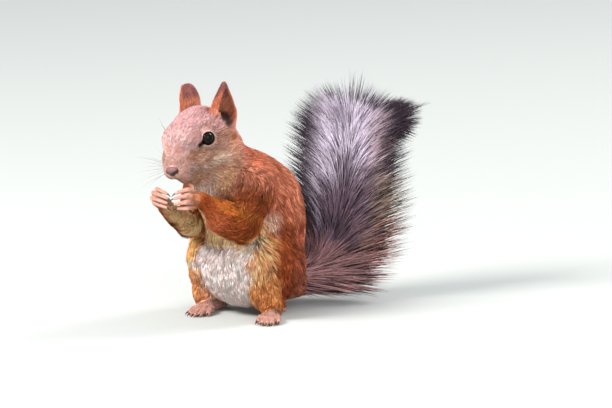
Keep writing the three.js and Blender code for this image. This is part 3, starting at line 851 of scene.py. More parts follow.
def waves(p, size, turns, seed):
    """A smooth random pattern, mostly between -1 and 1, its patches about size across."""
    wild = np.random.default_rng(seed)
    total = np.zeros(len(p))
    for _ in range(turns):
        direction = rows_unit(wild.normal(size=3)) * 2 * math.pi / (size * wild.uniform(0.8, 1.6))
        total += np.sin(p @ direction + wild.uniform(0, 2 * math.pi))
    return total / math.sqrt(turns / 2)


def mark_trunk(paint, p, shares, blot):
    """Back, flanks, chest and belly, then the arms and the lower legs."""
    b = p - MIDDLE
    height = b[:, 2] + 1.5 * blot
    middle = lerp(3, -13, smoothstep(60, 100, b[:, 2]))
    around = np.degrees(np.arctan2(b[:, 0], middle - b[:, 1])) - np.interp(height, [35, 60, 85], [0, 8, 2])
    around = np.abs(around) + 2.5 * blot  # about 0 degrees in front and 180 at the back
    low = smoothstep(74, 60, height)
    paint(smoothstep(112, 74, around) * lerp(0.2, 1, low), ORANGE)
    paint(lerp(0.3, 0.6, low) * smoothstep(0.1, 1.2, waves(p, 13, 7, 3)), CHESTNUT)
    paint(0.6 * low * smoothstep(62, 84, around) * smoothstep(140, 110, around), CHESTNUT)
    paint(smoothstep(61, 52, around) * low, AMBER)
    edge = np.interp(height, [46, 62, 68, 86], [42, 48, 50, 19])  # where the chest's pale patch ends
    front = smoothstep(-2, -8, b[:, 1] - middle) * smoothstep(106, 98, height)
    paint(front * smoothstep(2, -4, around - edge), BUFF)
    edge = np.interp(height, [5, 20, 35], [37, 40, 43])  # where the belly's white patch ends
    paint(smoothstep(3, -4, around - edge) * smoothstep(55, 47, height), WHITE)
    arm = np.clip(shares[ARM_PART] * 1.4, 0, 1)
    paint(arm, ARM)
    for s in SIDES:
        near, along = segment_near(*p.T, ELBOW[s], WRIST[s])
        axis_at = lerp(ELBOW[s], WRIST[s], along[:, None])
        on_top = smoothstep(1, 8, p[:, 2] - axis_at[:, 2] + 3 * blot)
        paint(0.7 * arm * smoothstep(18, 12, near) * on_top, GOLD)
        inner = smoothstep(-1, 3, -s * (p - axis_at)[:, 0])
        paint(0.9 * arm * inner * smoothstep(13, 9, near), INNER)
        flank = b - (33 * s, -10, 68)
        share = 0.8 if s > 0 else 0.15
        paint(share * smoothstep(12, 5, lengths(flank)), CREAM)
        # A darker patch behind the cream one: partly dark hair, partly painted shade in the crease between
        # the thigh and the flank.
        paint(share * smoothstep(9, 5, lengths(flank - (2 * s, 14, -4))), CHESTNUT * 0.5)
        shoulder = lengths(b - (17 * s, -42, 96))
        paint(0.9 * smoothstep(13, 7, shoulder), lerp(AMBER, CREAM, 0.3))
        near, _ = segment_near(*b.T, np.array([37 * s, -28, 58]), np.array([32 * s, -22, 28]))
        paint(0.9 * smoothstep(9, 4, near), lerp(AMBER, CREAM, 0.2))  # the knee
    paint(shares[LEG_PART] * 1.3, ORANGE)
    for s in SIDES:
        x, y, z = SHIN_FOOT[s]
        near, _ = segment_near(*p.T, on_body(x + 2 * s, y - 4, z + 15), on_body(x + s, y - 4, z - 5))
        paint(0.85 * smoothstep(12, 7, near), lerp(AMBER, ORANGE, 0.4))


def mark_head(paint, p, shares, blot):
    """Crown, face and cheeks, the pale band under the eye, the throat, and painted shade along the line of
    the mouth.
    """
    h = (p - HEAD_AT) @ HEAD
    side, back, up = np.abs(h[:, 0]), h[:, 1] + 0.8 * blot, h[:, 2] + 0.8 * blot
    head = np.clip(shares[HEAD_PART] * 1.4, 0, 1)

    def spot(strength, x, y, z, reach, colour):
        """A soft round mark on both sides of the head."""
        gap = np.sqrt((np.abs(h[:, 0]) - x) ** 2 + (h[:, 1] - y) ** 2 + (h[:, 2] - z) ** 2)
        paint(strength * smoothstep(reach * 1.3, reach * 0.5, gap), colour)

    def stripe(strength, wide, places, colour):
        """A soft line from place to place, on both sides of the head."""
        for a, c in zip(places, places[1:]):
            near, _ = segment_near(side, back, up, np.array(a, float), np.array(c, float))
            paint(strength * smoothstep(wide * 1.3, wide * 0.5, near), colour)

    paint(head * smoothstep(30, 24, back), lerp(RUST, FOREHEAD, 0.4))
    paint(head * smoothstep(25, 18, back), CHEEK)
    paint(head * smoothstep(27, 16, back) * smoothstep(-3, 4, up), FOREHEAD)
    paint(head * smoothstep(-9, -19, back), PAD)
    paint(head * smoothstep(-5, -16, back) * smoothstep(-4, 2, up), FACE)
    spot(0.6, 12, -10.7, 7.8, 4.5, BROW)
    spot(0.8, 19, 8, -4, 8, TEMPLE)
    spot(0.5, 16, 7, 8, 5, TEMPLE)
    spot(0.5, 14.5, -10, -5, 4, lerp(CHEEK, CREAM, 0.4))
    stripe(0.8, 3.2, [(12, -9, -13.5), (16.5, -2, -14.5), (20, 8, -15), (23.5, 14, -15)], CREAM)
    stripe(0.6, 2.2, [(9, -18, -3), (10.5, -15, -2), (14, -9, -5.5)], STRIPE)
    spot(0.6, 19, -3, -7.5, 5, TEMPLE)
    paint(0.7 * head * smoothstep(-15, -20, up) * smoothstep(6, 0, back), CHIN)
    spot(0.75, 21.5, 19, -9, 4.5, ARM)
    spot(0.6, 21, 8, -8, 6, TEMPLE)
    throat = np.sqrt(np.maximum(side - 4, 0) ** 2 + (back - 2) ** 2 + (up + 33) ** 2)
    paint(smoothstep(13, 8, throat), THROAT)
    spot(0.95, 17.5, 2, -30, 9, lerp(AMBER, CREAM, 0.45))
    spot(0.7, 21, 7, -17.5, 5.5, CREAM)
    spot(0.7, 22.5, 17, -16, 6, lerp(RUST, CREAM, 0.5))
    # Painted shade along the crease of the mouth.
    stripe(0.85, 1.3, LIP, DUSK * 0.7)
    spot(0.6, 3.8, -18.5, 3.3, 2.8, BRIDGE)
    spot(0.45, 4.0, -26, -4.5, 4.0, lerp(FACE, DUSK, 0.4))


def mark_ears(paint, p, shares):
    """Ears darker behind and at their tips, with painted shade in the hollow at the foot."""
    ear = np.clip(shares[EAR_PART] * 1.6 - 0.3, 0, 1)
    paint(ear, EAR)
    for s in SIDES:
        foot, turn = ear_frame(s)
        e = (p - foot) @ turn
        high = e[:, 2]
        mine = ear * smoothstep(20, 14, lengths(e - (0, 0, 12)))
        open_side = smoothstep(0.6, 1.6, e[:, 1] - 0.12 * high + 1.2)
        paint(mine * open_side, EAR_INSIDE)
        paint(0.75 * mine * (1 - open_side) * smoothstep(9, 13, high) * smoothstep(24, 18, high), EAR_DARK)
        paint(0.6 * mine * smoothstep(17, 22, high), EAR_DARK)
        # Painted shade in the hollow at the foot of the ear, darkest at its deepest part.
        hollow = lengths(e - (1.0 * s, 3.0, -1))
        paint(0.95 * smoothstep(7.5, 4, hollow), DUSK * 0.8)
        paint(0.85 * smoothstep(4.5, 2.5, lengths(e - (2.5 * s, 4.5, -4.5))), DUSK)
        foot_front = smoothstep(5, -1, high) * smoothstep(1, 5, e[:, 0] * s)
        paint(0.8 * mine * foot_front, lerp(FOREHEAD, EAR, 0.3))


def markings(p, shares):
    """The colour of the coat at each point."""
    colour = np.tile(RUST, (len(p), 1))

    def paint(mask, paint_colour):
        colour[...] = lerp(colour, paint_colour, np.clip(mask, 0, 1)[:, None])

    blot = waves(p, 9, 9, 11)
    mark_trunk(paint, p, shares, blot)
    mark_head(paint, p, shares, blot)
    mark_ears(paint, p, shares)
    paint(shares[PAW_PART] * 1.5 - 0.35, PAW)
    for s in SIDES:
        paint(0.8 * smoothstep(12, 6, lengths(p - WRIST[s])) * shares[PAW_PART], GOLD)
    paint(shares[TAIL_PART] * 1.3, SLATE)
    for s in SIDES:  # the pale ring round the eye, and its black rim
        gap = lengths(p - EYE[s])
        paint(0.8 * smoothstep(7.7, 6.7, gap), RING)
        paint(smoothstep(5.8, 5.45, gap), DUSK * 0.12)
        paint(smoothstep(2.2, 1.5, tear_gap(p, s)), DUSK * 0.12)
    return colour


# ---- Tufts ----


def sow(points, quads, normals, density):
    """Roots spread over the skin, so many to each square millimetre, with the skin's normals there."""
    corners = np.concatenate([quads[:, [0, 1, 2]], quads[:, [0, 2, 3]]])
    corners = corners[np.argsort(np.tile(np.arange(len(quads)), 2), kind="stable")]
    a, b, c = (points[corners[:, n]] for n in range(3))
    area = lengths(np.cross(b - a, c - a)) / 2
    share = np.cumsum(area * density[corners].mean(axis=1))
    count = int(share[-1])
    pick = np.searchsorted(share, (np.arange(count) + rng.random(count)) * share[-1] / count)
    pick = np.minimum(pick, len(corners) - 1)
    u, v = rng.random((2, count))
    over = u + v > 1
    u[over], v[over] = 1 - u[over], 1 - v[over]
    shares = np.column_stack([1 - u - v, u, v])[:, :, None]
    return (points[corners[pick]] * shares).sum(1), rows_unit((normals[corners[pick]] * shares).sum(1))


def tree_of(points):
    tree = kdtree.KDTree(len(points))
    for n, point in enumerate(points.tolist()):
        tree.insert(point, n)
    tree.balance()
    return tree


def nearest(tree, places):
    return np.array([tree.find(place)[1] for place in places.tolist()])


def clumps(root, tip, size, pull):
    """Draws each tuft's tip towards the tip of the tuft its clump grows round."""
    leaders = rng.permutation(len(root))[: max(len(root) // size, 1)]
    mine = nearest(tree_of(root[leaders]), root)
    beside = (root - root[leaders][mine]) * 0.3
    return mine, lerp(tip, tip[leaders][mine] + beside, pull[:, None])


SPIKE = ((0.0, 1.0),)  # how far along a tuft each of its rings is, and its width there
TUFT = ((0.0, 0.8), (0.5, 1.0))
LONG_HAIR = ((0.0, 0.8), (0.35, 1.0), (0.7, 0.7))


def spike_faces(rings, sides):
    """The triangles of a closed spike: its rings of points one after another, then its tip."""
    faces = [(0, k + 1, k) for k in range(1, sides - 1)]
    for n in range(rings):
        for k in range(sides):
            a, b = n * sides + k, n * sides + (k + 1) % sides
            if n < rings - 1:
                faces += [(a, b, b + sides), (a, b + sides, a + sides)]
            else:
                faces.append((a, b, rings * sides))
    return np.array(faces)


def tuft_mesh(root, bend, tip, normal, wide, rings):
    """Closed three-sided tapering tufts along the curves root, bend, tip."""
    count, per = len(root), 3 * len(rings) + 1
    points = np.empty((count, per, 3))
    across = rows_unit(np.cross(normal, tip - root))
    for n, (t, width) in enumerate(rings):
        middle = (1 - t) ** 2 * root + 2 * t * (1 - t) * bend + t * t * tip
        along = rows_unit((1 - t) * (bend - root) + t * (tip - bend))
        half = (wide * width / 2)[:, None]
        for corner, way in enumerate((-across, across, np.cross(along, across))):
            points[:, 3 * n + corner] = middle + way * half
    points[:, -1] = tip
    faces = spike_faces(len(rings), 3)[None] + (np.arange(count) * per)[:, None, None]
    return points.reshape(-1, 3), faces.reshape(-1, 3)


def paint_points(piece, colour):
    layer = piece.data.color_attributes.new("coat", "FLOAT_COLOR", "POINT")
    rgba = np.column_stack([colour, np.ones(len(colour))]).astype(np.float32)
    layer.data.foreach_set("color", rgba.ravel())


PATCH = 0.003  # how much of the OFBake map one tuft takes, each way
MOST_FACES = 196000  # how many triangles one piece of tufts has at most


def add_tufts(name, material, slot, unwrap, root, bend, tip, normal, wide, rings, colours):
    """Tufts in as many pieces as they need, painted with a colour for each ring and the tip."""
    most = MOST_FACES // (6 * len(rings) - 2)
    for part, some in enumerate(np.array_split(np.arange(len(root)), len(root) // most + 1)):
        points, faces = tuft_mesh(root[some], bend[some], tip[some], normal[some], wide[some], rings)
        piece = make_mesh(f"{name}_{part + 1}", points, faces)
        rows = [3] * len(rings) + [1]
        painted = np.repeat(np.stack([colour[some] for colour in colours], 1), rows, axis=1)
        paint_points(piece, painted.reshape(-1, 3))
        base = unwrap.on_face(unwrap.faces_near(root[some]), root[some])
        sideways = np.array([-0.5, 0.5, 0] * len(rings) + [0]) * PATCH
        lengthways = np.repeat([t for t, _ in rings] + [1], rows) * PATCH - PATCH / 2
        flat = base[:, None, :] + np.column_stack([sideways, lengthways])[None]
        set_map(piece, flat.reshape(-1, 2)[faces.ravel()])
        hand_over(piece, material, slot)


def painted_material(name, grain, tone, bump, **values):
    """A surface in its painted colours, darker and lighter by a fine grain that it is also rough with."""
    material, nodes, links, shader = new_material(name, **values)
    painted = nodes.new("ShaderNodeAttribute")
    painted.attribute_name = "coat"
    where = nodes.new("ShaderNodeTexCoord")
    noise = set_sockets(nodes.new("ShaderNodeTexNoise"), Scale=grain, Detail=4)
    level = nodes.new("ShaderNodeMapRange")
    set_sockets(level, From_Min=0.3, From_Max=0.7, To_Min=1 - tone, To_Max=1 + tone)
    scaled = nodes.new("ShaderNodeVectorMath")
    scaled.operation = "SCALE"
    middle = values["Roughness"]
    rough = set_sockets(nodes.new("ShaderNodeMapRange"), To_Min=middle * 0.85, To_Max=min(middle * 1.15, 1))
    raised = set_sockets(nodes.new("ShaderNodeBump"), Strength=0.5, Distance=bump * MM)
    for output, socket in (
        (where.outputs["Object"], noise.inputs["Vector"]),
        (noise.outputs["Fac"], level.inputs["Value"]),
        (painted.outputs["Color"], scaled.inputs[0]),
        (level.outputs["Result"], scaled.inputs["Scale"]),
        (scaled.outputs["Vector"], shader.inputs["Base Color"]),
        (noise.outputs["Fac"], rough.inputs["Value"]),
        (rough.outputs["Result"], shader.inputs["Roughness"]),
        (noise.outputs["Fac"], raised.inputs["Height"]),
        (raised.outputs["Normal"], shader.inputs["Normal"]),
    ):
        links.new(output, socket)
    return material


COAT_SHARE = 0.94  # how many of the tufts that the guides ask for are grown
SHORT = 3.2  # tufts shorter than this are plain spikes


def density_of_coat(points, normals):
    """Tufts to each square millimetre: none on the tail, the eyes, the nose and against the floor."""
    shares, _, sizes = lie_of_coat(points)
    density = COAT_SHARE * sizes[3] * (1 - np.clip(shares[TAIL_PART] * 1.5, 0, 1))
    for s in SIDES:
        density = density * smoothstep(EYE_GUARD, EYE_GUARD + 0.8, lengths(points - EYE[s]))
        density = density * smoothstep(1.4, 2.0, tear_gap(points, s))
    density = density * (lengths(points - NOSE) > NOSE_GUARD)
    return density * ((points[:, 2] > 1.5) | (normals[:, 2] > -0.5))


def grow_coat(points, quads, normals, unwrap, material):
    """The coat over all but the tail."""
    root, normal = sow(points, quads, normals, density_of_coat(points, normals))
    shares, flow, (long, depth, wide, _) = lie_of_coat(root)
    for s in SIDES:  # shorter close to an eye, and lying away from it
        away = root - EYE[s]
        gap = lengths(away)
        away -= np.outer(away @ eye_axis(s), eye_axis(s))
        flow += rows_unit(away) * (2.5 * np.exp(-(((gap - EYE_GUARD) / 2.4) ** 2)))[:, None]
        short = lerp(0.4, 1, smoothstep(EYE_GUARD, 11, gap))
        long, depth, wide = long * short, depth * short, wide * lerp(0.7, 1, short)
    flow = rows_unit(flow - normal * (flow * normal).sum(1)[:, None])
    swirl = waves(root, 15, 6, 21) * 0.25 * smoothstep(2, 8, long)
    turn = swirl + rng.normal(0, 0.12, len(root))
    flow = rows_unit(flow + np.cross(normal, flow) * turn[:, None])
    long = long * rng.uniform(0.75, 1.2, len(root))
    wide = wide * rng.uniform(0.7, 1.15, len(root))

    aim = root + flow * long[:, None]  # then the tip is set to its height over the skin below it
    under = nearest(tree_of(points), aim)
    height = ((aim - points[under]) * normals[under]).sum(1)
    lift = depth * rng.uniform(0.5, 1.15, len(root))
    tip = aim + normals[under] * (lift - height)[:, None]
    loose = smoothstep(3.5, 8, long) * (1 - 0.8 * np.clip(shares[HEAD_PART] * 1.4, 0, 1))
    _, tip = clumps(root, tip, size=90, pull=loose * rng.uniform(0.05, 0.25, len(root)))
    mine, tip = clumps(root, tip, size=12, pull=loose * rng.uniform(0.2, 0.65, len(root)))
    tip[:, 2] = np.maximum(tip[:, 2], 0.15)
    bend = (root + tip) / 2 + normal * (0.6 * lift)[:, None]

    tone = rng.normal(0, 0.26, mine.max() + 1)[mine] * loose + rng.normal(0, 0.28, len(root))
    tone -= 0.5 * (rng.random(len(root)) < 0.07)
    colour = markings(root, shares)
    pale = smoothstep(0.45, 0.75, colour[:, 2])
    colour = np.minimum(colour * np.exp(tone * lerp(1, 0.4, pale))[:, None], 0.95)

    b = root - MIDDLE
    region = np.where(b[:, 1] > 3, "coat_back", np.where(b[:, 2] > 62, "coat_chest", "coat_belly"))
    region = np.where(shares[HEAD_PART] + shares[EAR_PART] > 0.5, "coat_head", region)
    # Each ramp runs from root to tip, darker at the root: partly the hair's own darker base, partly painted
    # shade deep in the coat.
    kinds = (
        ("short", long < SHORT, SPIKE, (0.72, 1.12)),
        ("long", long >= SHORT, TUFT, (0.62, 0.95, 1.12)),
    )
    for name in np.unique(region):
        for kind, these, rings, ramp in kinds:
            some = np.flatnonzero((region == name) & these)
            if len(some):
                colours = [colour[some] * lerp(level, 1, 0.5 * pale[some])[:, None] for level in ramp]
                tufts = (v[some] for v in (root, bend, tip, normal, wide))
                add_tufts(f"{name}_{kind}", material, "coat_rust", unwrap, *tufts, rings, colours)


# ---- The brush of the tail ----

BRUSH_TURN = [0, 15, 30, 35, 35, 35, 35]  # degrees that its flat side is turned, at each point of BRUSH
BRUSH_SPREAD = {  # how far its hair spreads there, towards the animal's left and its right
    1: [15, 24, 50, 54, 53, 48, 44],
    -1: [15, 18, 25, 33, 42, 47, 46],
}
BRUSH_THICK = [14, 15, 17, 17, 17, 17, 18]
BRUSH_CAP = 40  # how far past its end its outline closes
CURL_TURN = [35] * 4
CURL_SPREAD = {1: [20, 24, 26, 27], -1: [12, 14, 16, 17]}
CURL_THICK = [12, 13, 13, 12]
CURL_CAP = 27


class Brush:
    """A run of the tail: its middle line, the way its flat side faces and how far its hair spreads."""

    def __init__(self, line, turn, spread, thick, cap):
        self.turn, self.spread, self.thick, self.cap = turn, spread, thick, cap
        line = np.array(line)
        self.marks = np.concatenate([[0], np.cumsum(lengths(np.diff(line, axis=0)))])
        self.long = self.marks[-1]
        self.fine = np.linspace(0, self.long, 120)
        run = interp_rows(self.fine, self.marks, line)
        for _ in range(60):
            run[1:-1] = (run[:-2] + 2 * run[1:-1] + run[2:]) / 4
        self.run, self.ahead = run, rows_unit(np.gradient(run, axis=0))

    def at(self, u):
        """Place, direction, sideways and outwards for distances along the tail, past its end as well."""
        place = interp_rows(u, self.fine, self.run)
        ahead = rows_unit(interp_rows(u, self.fine, self.ahead))
        past = np.maximum(u - self.long, 0) + np.minimum(u, 0)
        turn = np.radians(np.interp(u, self.marks, self.turn))
        sideways = np.column_stack([np.cos(turn), np.sin(turn), np.zeros(len(u))])
        sideways = rows_unit(sideways - ahead * (sideways * ahead).sum(1)[:, None])
        return place + ahead * past[:, None], ahead, sideways, np.cross(ahead, sideways)

    def halves(self, u, across):
        """How far the hair reaches sideways and outwards, for distances along the tail."""
        left, right = (np.interp(u, self.marks, self.spread[s]) for s in SIDES)
        close = np.sqrt(1 - np.clip((u - self.long) / self.cap, 0, 0.995) ** 2)
        return np.where(across > 0, left, right) * close, np.interp(u, self.marks, self.thick) * close


TAIL_ROOT, TAIL_GREY, TAIL_PALE = shade(206, 154, 152), shade(132, 108, 122), shade(220, 206, 222)
TAIL_DARK, TAIL_TAN, TAIL_RED = shade(46, 36, 44), shade(176, 150, 126), shade(190, 122, 104)


def colour_of_brush(share, v, t, dark):
    """The colour of tail hair from how far along and across the brush, and along itself, it is."""
    colour = lerp(TAIL_ROOT, TAIL_GREY, smoothstep(0.3, 0.5, share)[:, None])
    pale = smoothstep(0.66, 0.9, share) * smoothstep(0.1, 0.45, t)
    pale = np.maximum(pale, smoothstep(0.2, 0.08, np.abs(v + 0.5)) * smoothstep(0.46, 0.6, share))
    colour = lerp(colour, TAIL_PALE, pale[:, None])
    tan = smoothstep(0.3, 0.5, v) * smoothstep(0.92, 0.75, share) * smoothstep(0.35, 0.5, share)
    colour = lerp(colour, TAIL_TAN, (0.8 * tan)[:, None])
    red = smoothstep(0.42, 0.6, v) * smoothstep(0.13, 0.05, np.abs(share - 0.48))
    red = red + 0.5 * smoothstep(0.28, 0.45, v) * smoothstep(0.25, 0.1, np.abs(share - 0.95))
    colour = lerp(colour, TAIL_RED, (0.8 * np.clip(red, 0, 1))[:, None])
    fringe = smoothstep(0.4, 0.54, -v) * smoothstep(0.3, 0.5, share)
    fringe = np.maximum(fringe, smoothstep(0.52, 0.64, v) * smoothstep(0.74, 0.86, share))
    fringe = np.maximum(fringe, smoothstep(1.13, 1.22, share))
    return lerp(colour, TAIL_DARK, np.maximum(fringe, dark * smoothstep(0.15, 0.4, t))[:, None])


def colour_of_curl(share, v, t, dark):
    """The colour of the hair on the turned-over end: pale where it starts, then nearly black."""
    colour = lerp(TAIL_PALE, TAIL_GREY, smoothstep(0.25, 0.5, share)[:, None])
    black = smoothstep(0.4, 0.7, share) * lerp(0.8, 1, dark)
    return lerp(colour, TAIL_DARK, black[:, None])


def grow_brush(name, brush, painter, unwrap, material, count, start, reach):
    """The long hair of a run of the tail, fanning out from its flesh to the outline of the brush."""
    near_end = rng.random(count) < 0.2
    u = brush.long * np.where(near_end, rng.uniform(0.75, 1, count), rng.uniform(start, 1, count))
    under = rng.random(count) < 0.35
    ahead_by = reach * np.where(under, rng.uniform(0.26, 0.6, count), rng.uniform(0.5, 1.0, count))
    ahead_by *= np.where(rng.random(count) < 0.08, 1.3, 1)
    angle = rng.uniform(-math.pi, math.pi, count)
    out = np.sqrt(np.where(under, rng.uniform(0.15, 0.6, count), rng.uniform(0.35, 1.04, count)))
    place, ahead, sideways, outwards = brush.at(u)
    core = np.interp(u, [0, brush.long], [5.5, 2.0])[:, None]
    radial = np.cos(angle)[:, None] * sideways + np.sin(angle)[:, None] * outwards
    root = place + radial * core
    far = u + ahead_by
    end, _, end_sideways, end_outwards = brush.at(far)
    across, through = np.cos(angle) * out, np.sin(angle) * out
    wide, thick = brush.halves(far, across)
    tip = end + end_sideways * (across * wide)[:, None] + end_outwards * (through * thick)[:, None]
    tip += rng.normal(0, 1.0, (count, 3))
    _, tip = clumps(root + 0.5 * tip, tip, size=60, pull=rng.uniform(0.0, 0.25, count))
    mine, tip = clumps(root + 2 * tip, tip, size=9, pull=rng.uniform(0.1, 0.6, count))
    tip[:, 2] = np.maximum(tip[:, 2], 0.2)
    bend = lerp(root, tip, 0.5) + ahead * (0.16 * ahead_by)[:, None] + rng.normal(0, 0.8, (count, 3))
    bend[:, 2] = np.maximum(bend[:, 2], 0.6)
    hair = rng.uniform(0.34, 0.62, count) * lerp(1, 0.7, smoothstep(0, 20, far - brush.long))
    hair *= lerp(1, 1.4, smoothstep(0.75, 1, np.abs(across)))
    few = lerp(0.28, 0.16, smoothstep(0.6, 0.85, u / brush.long))
    dark = (rng.random(count) < lerp(few, 0.5, smoothstep(0.6, 0.9, across))).astype(float)
    tone = rng.normal(0, 0.10, mine.max() + 1)[mine] + rng.normal(0, 0.16, count)
    blot = 0.06 * waves(root + tip, 28, 6, 5)

    def painted(t):
        length = u + t * ahead_by
        v = across * t * wide / np.maximum(brush.halves(length, across)[0], 1)
        colour = painter(length / brush.long + blot, v * (1 + blot + 0.06 * tone), t, dark)
        return colour * np.exp(tone)[:, None]

    colours = [painted(t) for t in (0, 0.35, 0.7, 1)]
    facing = rows_unit(np.cross(tip - root, np.cross(radial, tip - root)) + 1e-6)
    add_tufts(name, material, "brush_grey", unwrap, root, bend, tip, facing, hair, LONG_HAIR, colours)


def grow_tail(unwrap, material):
    """The hair of the tail and of its turned-over end."""
    brush = Brush(BRUSH, BRUSH_TURN, BRUSH_SPREAD, BRUSH_THICK, BRUSH_CAP)
    grow_brush("brush", brush, colour_of_brush, unwrap, material, count=19500, start=-0.03, reach=38)
    curl = Brush(CURL, CURL_TURN, CURL_SPREAD, CURL_THICK, CURL_CAP)
    grow_brush("curl", curl, colour_of_curl, unwrap, material, count=3000, start=0.15, reach=28)


# ---- Eyes, nose, claws and whiskers ----


def add_eye(s, material):
    """An eyeball with the bulge of its cornea, dark brown round a black pupil."""
    rings, around = 28, 48
    polar = np.linspace(0, math.pi, rings + 1)
    turn = np.linspace(0, 2 * math.pi, around, endpoint=False)
    radius = EYE_RADIUS * (0.975 + 0.045 * smoothstep(0.95, 0.2, polar))
    out, up = ((radius * v)[1:-1, None] for v in (np.sin(polar), np.cos(polar)))
    grid = np.stack([out * np.cos(turn), out * np.sin(turn), up * np.ones(around)], axis=-1).reshape(-1, 3)
    poles = np.array([[0, 0, radius[0]], [0, 0, -radius[-1]]])
    front = eye_axis(s)
    across = unit(np.cross(UP, front))
    facing = np.column_stack([across, np.cross(front, across), front])
    points = np.concatenate([grid, poles]) @ facing.T + EYE[s]
    faces = []
    for r in range(rings - 2):
        for k in range(around):
            a, b = r * around + k, r * around + (k + 1) % around
            faces += [(a, a + around, b + around), (a, b + around, b)]
    first, last = len(grid), len(grid) + 1
    faces += [(first, k, (k + 1) % around) for k in range(around)]
    base = (rings - 2) * around
    faces += [(last, base + (k + 1) % around, base + k) for k in range(around)]
    piece = make_mesh(f"eyeball_{SIDE_NAME[s]}", points, np.array(faces))
    tilt = np.degrees(np.concatenate([np.repeat(polar[1:-1], around), polar[[0, -1]]]))
    iris = smoothstep(26, 32, tilt) * smoothstep(66, 50, tilt)
    paint_points(piece, lerp(shade(8, 6, 6), shade(26, 16, 12), iris[:, None]))
    hand_over(piece, material, "eye_black", f"eye_{SIDE_NAME[s]}")


def horn(root, bend, tip, radius, sides=6, rings=5):
    """A curved claw or whisker that tapers to a point."""
    points = []
    t = np.linspace(0, 1, rings + 1)[:-1]
    helper = unit(np.cross(tip - root, (0.31, 0.52, 0.79)))
    for share in t:
        middle = (1 - share) ** 2 * root + 2 * share * (1 - share) * bend + share**2 * tip
        along = unit((1 - share) * (bend - root) + share * (tip - bend))
        x = unit(np.cross(helper, along))
        y = np.cross(along, x)
        r = radius * (1 - share) ** 0.7
        for k in range(sides):
            a = 2 * math.pi * k / sides
            points.append(middle + r * (math.cos(a) * x + math.sin(a) * y))
    points.append(tip)
    return np.array(points), spike_faces(rings, sides), np.append(np.repeat(t, sides), 1)


def add_horns(name, horns, base, end, material):
    """Several claws or whiskers as one piece, painted from one colour at the root to one at the tip."""
    points, faces, shares, count = [], [], [], 0
    for p, f, t in horns:
        points.append(p)
        faces.append(f + count)
        shares.append(t)
        count += len(p)
    piece = make_mesh(name, np.concatenate(points), np.concatenate(faces))
    paint_points(piece, lerp(base, end, np.concatenate(shares)[:, None]))
    hand_over(piece, material, "eye_black")


def add_claws(material):
    for s in SIDES:
        claws = {"hand": [], "foot": []}
        for _, bend, tip in digits_of_hand(s):
            ahead = unit(tip - bend)
            down = unit(np.array([0, 0, -1.0]) - ahead * -ahead[2])
            base = tip + ahead * 0.3
            claws["hand"].append(horn(base, base + ahead * 2.2, base + ahead * 3.5 + down * 1.7, 0.6))
        for root, _, tip in digits_of_foot(s):
            ahead = unit(tip - root)
            base = tip + ahead * 0.6 + (0, 0, 0.3)
            crook, end = base + ahead * 2.4 + (0, 0, 0.5), base + ahead * 4.0 + (0, 0, -1.3)
            claws["foot"].append(horn(base, crook, end, 0.75))
        for part, horns in claws.items():
            name = f"claws_{part}_{SIDE_NAME[s]}"
            add_horns(name, horns, shade(70, 48, 40), shade(28, 20, 18), material)


def add_whiskers(material):
    for s in SIDES:
        horns = []
        for row in range(4):
            for n in range(5):
                root = on_head((5.2 + 0.55 * n) * s, -22.5 + 2.0 * n + 0.4 * row, -6.6 - 1.5 * row)
                spread = np.array([(0.92 - 0.06 * n) * s, 0.12 + 0.16 * n, 0.16 - 0.17 * row])
                spread = HEAD @ unit(spread + rng.normal(0, 0.05, 3))
                long = rng.uniform(22, 36)
                tip = root + spread * long + -UP * long * rng.uniform(0.05, 0.16)
                horns.append(horn(root, root + spread * long * 0.55, tip, 0.13, sides=4))
        for x, y, z in ((9.0, -7, 9.5), (10.0, -5.5, 10.0)):  # above the eye
            root = on_head(x * s, y, z)
            lift = HEAD @ unit(np.array([0.5 * s, 0.1, 0.85]))
            horns.append(horn(root, root + lift * 7, root + lift * 12 - AHEAD * 3, 0.1, sides=4))
        name = f"whiskers_{SIDE_NAME[s]}"
        add_horns(name, horns, shade(60, 46, 42), shade(150, 140, 134), material)


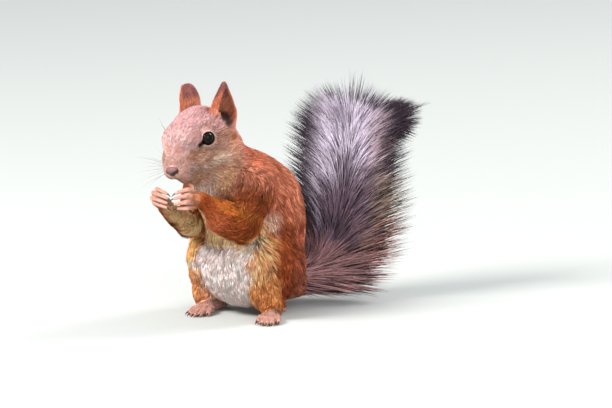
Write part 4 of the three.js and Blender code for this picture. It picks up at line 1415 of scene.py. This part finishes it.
def add_nose(material):
    """The bare pad of the nose, with its nostrils and the groove between them."""
    rulers = tuple(np.arange(middle - 6.5, middle + 6.5, 0.26).astype(np.float32) for middle in NOSE)
    clay = Clay(rulers, np.full([len(marks) for marks in rulers], 5, np.float32))

    def by_nose(x, y, z):
        return NOSE + HEAD @ np.array([x, y, z], float)

    clay.join(ball(by_nose(0, 0.4, 0.6), [4.2, 2.6, 2.7]), 0.5)
    clay.join(ball(by_nose(0, -0.4, -1.0), [2.4, 2.0, 2.2]), 1.2)
    for s in SIDES:
        clay.join(ball(by_nose(3.1 * s, 0.7, 0.3), [1.7, 2.2, 2.0]), 1.0)
        clay.cut(limb(by_nose(1.7 * s, -2.6, -0.7), by_nose(3.9 * s, -1.9, 0.2), 0.75, 0.8), 0.4)
        clay.cut(limb(by_nose(3.9 * s, -1.9, 0.2), by_nose(4.7 * s, -0.3, 1.2), 0.75, 0.45), 0.4)
    clay.cut(limb(by_nose(0, -3.0, 0.6), by_nose(0, -2.4, -3.4), 0.2, 0.3), 0.35)
    points, faces = surface_of(clay)
    piece = make_mesh("nose_pad", points, faces)
    near = (points - NOSE) @ HEAD
    side, up = np.abs(near[:, 0]), near[:, 2]
    # The nostril slits are painted nearly black, as painted shade in their hollows.
    nostril = lerp(-0.7, 0.4, np.clip((side - 1.7) / 2.4, 0, 1))
    slit = np.hypot(up - nostril, np.maximum(1.5 - side, 0))
    # Lighter on top as a painted highlight, darker below as painted shade.
    colour = lerp(shade(112, 72, 68), shade(60, 36, 34), smoothstep(1.5, -1.5, up)[:, None])
    paint_points(piece, lerp(shade(24, 14, 14), colour, smoothstep(0.6, 1.3, slit)[:, None]))
    hand_over(piece, material, "nose_skin", "nose")


SKIN_SHARE, MAP_SHARE = 0.4, 0.03  # how much of the drawn skin's triangles these two copies keep


def add_skin(points, quads, unwrap, material):
    """The skin under the coat, in place of every CAD node of flesh."""
    points, faces = thinned(points, quads, SKIN_SHARE)
    skin = make_mesh("skin", points, faces)
    shares, _, _ = lie_of_coat(points)
    # The coat's colours darkened: partly darker underfur, partly painted shade deep in the coat.
    paint_points(skin, markings(points, shares) * 0.72)
    face = unwrap.faces_near(points[faces].mean(axis=1))
    flat = np.stack([unwrap.on_face(face, points[faces[:, n]]) for n in range(3)], axis=1)
    set_map(skin, flat)
    flesh = [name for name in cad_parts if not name.startswith(("eye", "nose"))]
    hand_over(skin, material, "coat_rust", *flesh)


def normals_of(points, quads):
    """The way a smooth surface faces at each of its points."""
    piece = make_mesh("normals", points, quads)
    normals = read(piece.data.vertex_normals, "vector", 3).astype(float)
    bpy.data.objects.remove(piece)
    return normals


def build():
    points, quads = model_skin()
    unwrap = Unwrap(*thinned(points, quads, MAP_SHARE))
    fur = painted_material("coat_hair", 900, 0.16, 0.2, Roughness=0.75, Specular_IOR_Level=0.12)
    bare = painted_material("skin_under", 1500, 0.2, 0.4, Roughness=0.8, Specular_IOR_Level=0.2)
    horn_like = painted_material("horn", 700, 0.15, 0.1, Roughness=0.4, Specular_IOR_Level=0.5)
    nose = painted_material("nose_skin", 2600, 0.12, 0.35, Roughness=0.5, Specular_IOR_Level=0.45)
    eye = painted_material("eye_black", 300, 0.1, 0.0, Roughness=0.04, Specular_IOR_Level=0.12)
    normals = normals_of(points, quads)
    add_skin(points, quads, unwrap, bare)
    grow_coat(points, quads, normals, unwrap, fur)
    grow_tail(unwrap, fur)
    for s in SIDES:
        add_eye(s, eye)
    add_nose(nose)
    add_claws(horn_like)
    add_whiskers(horn_like)


set_camera()
set_stage()
build()
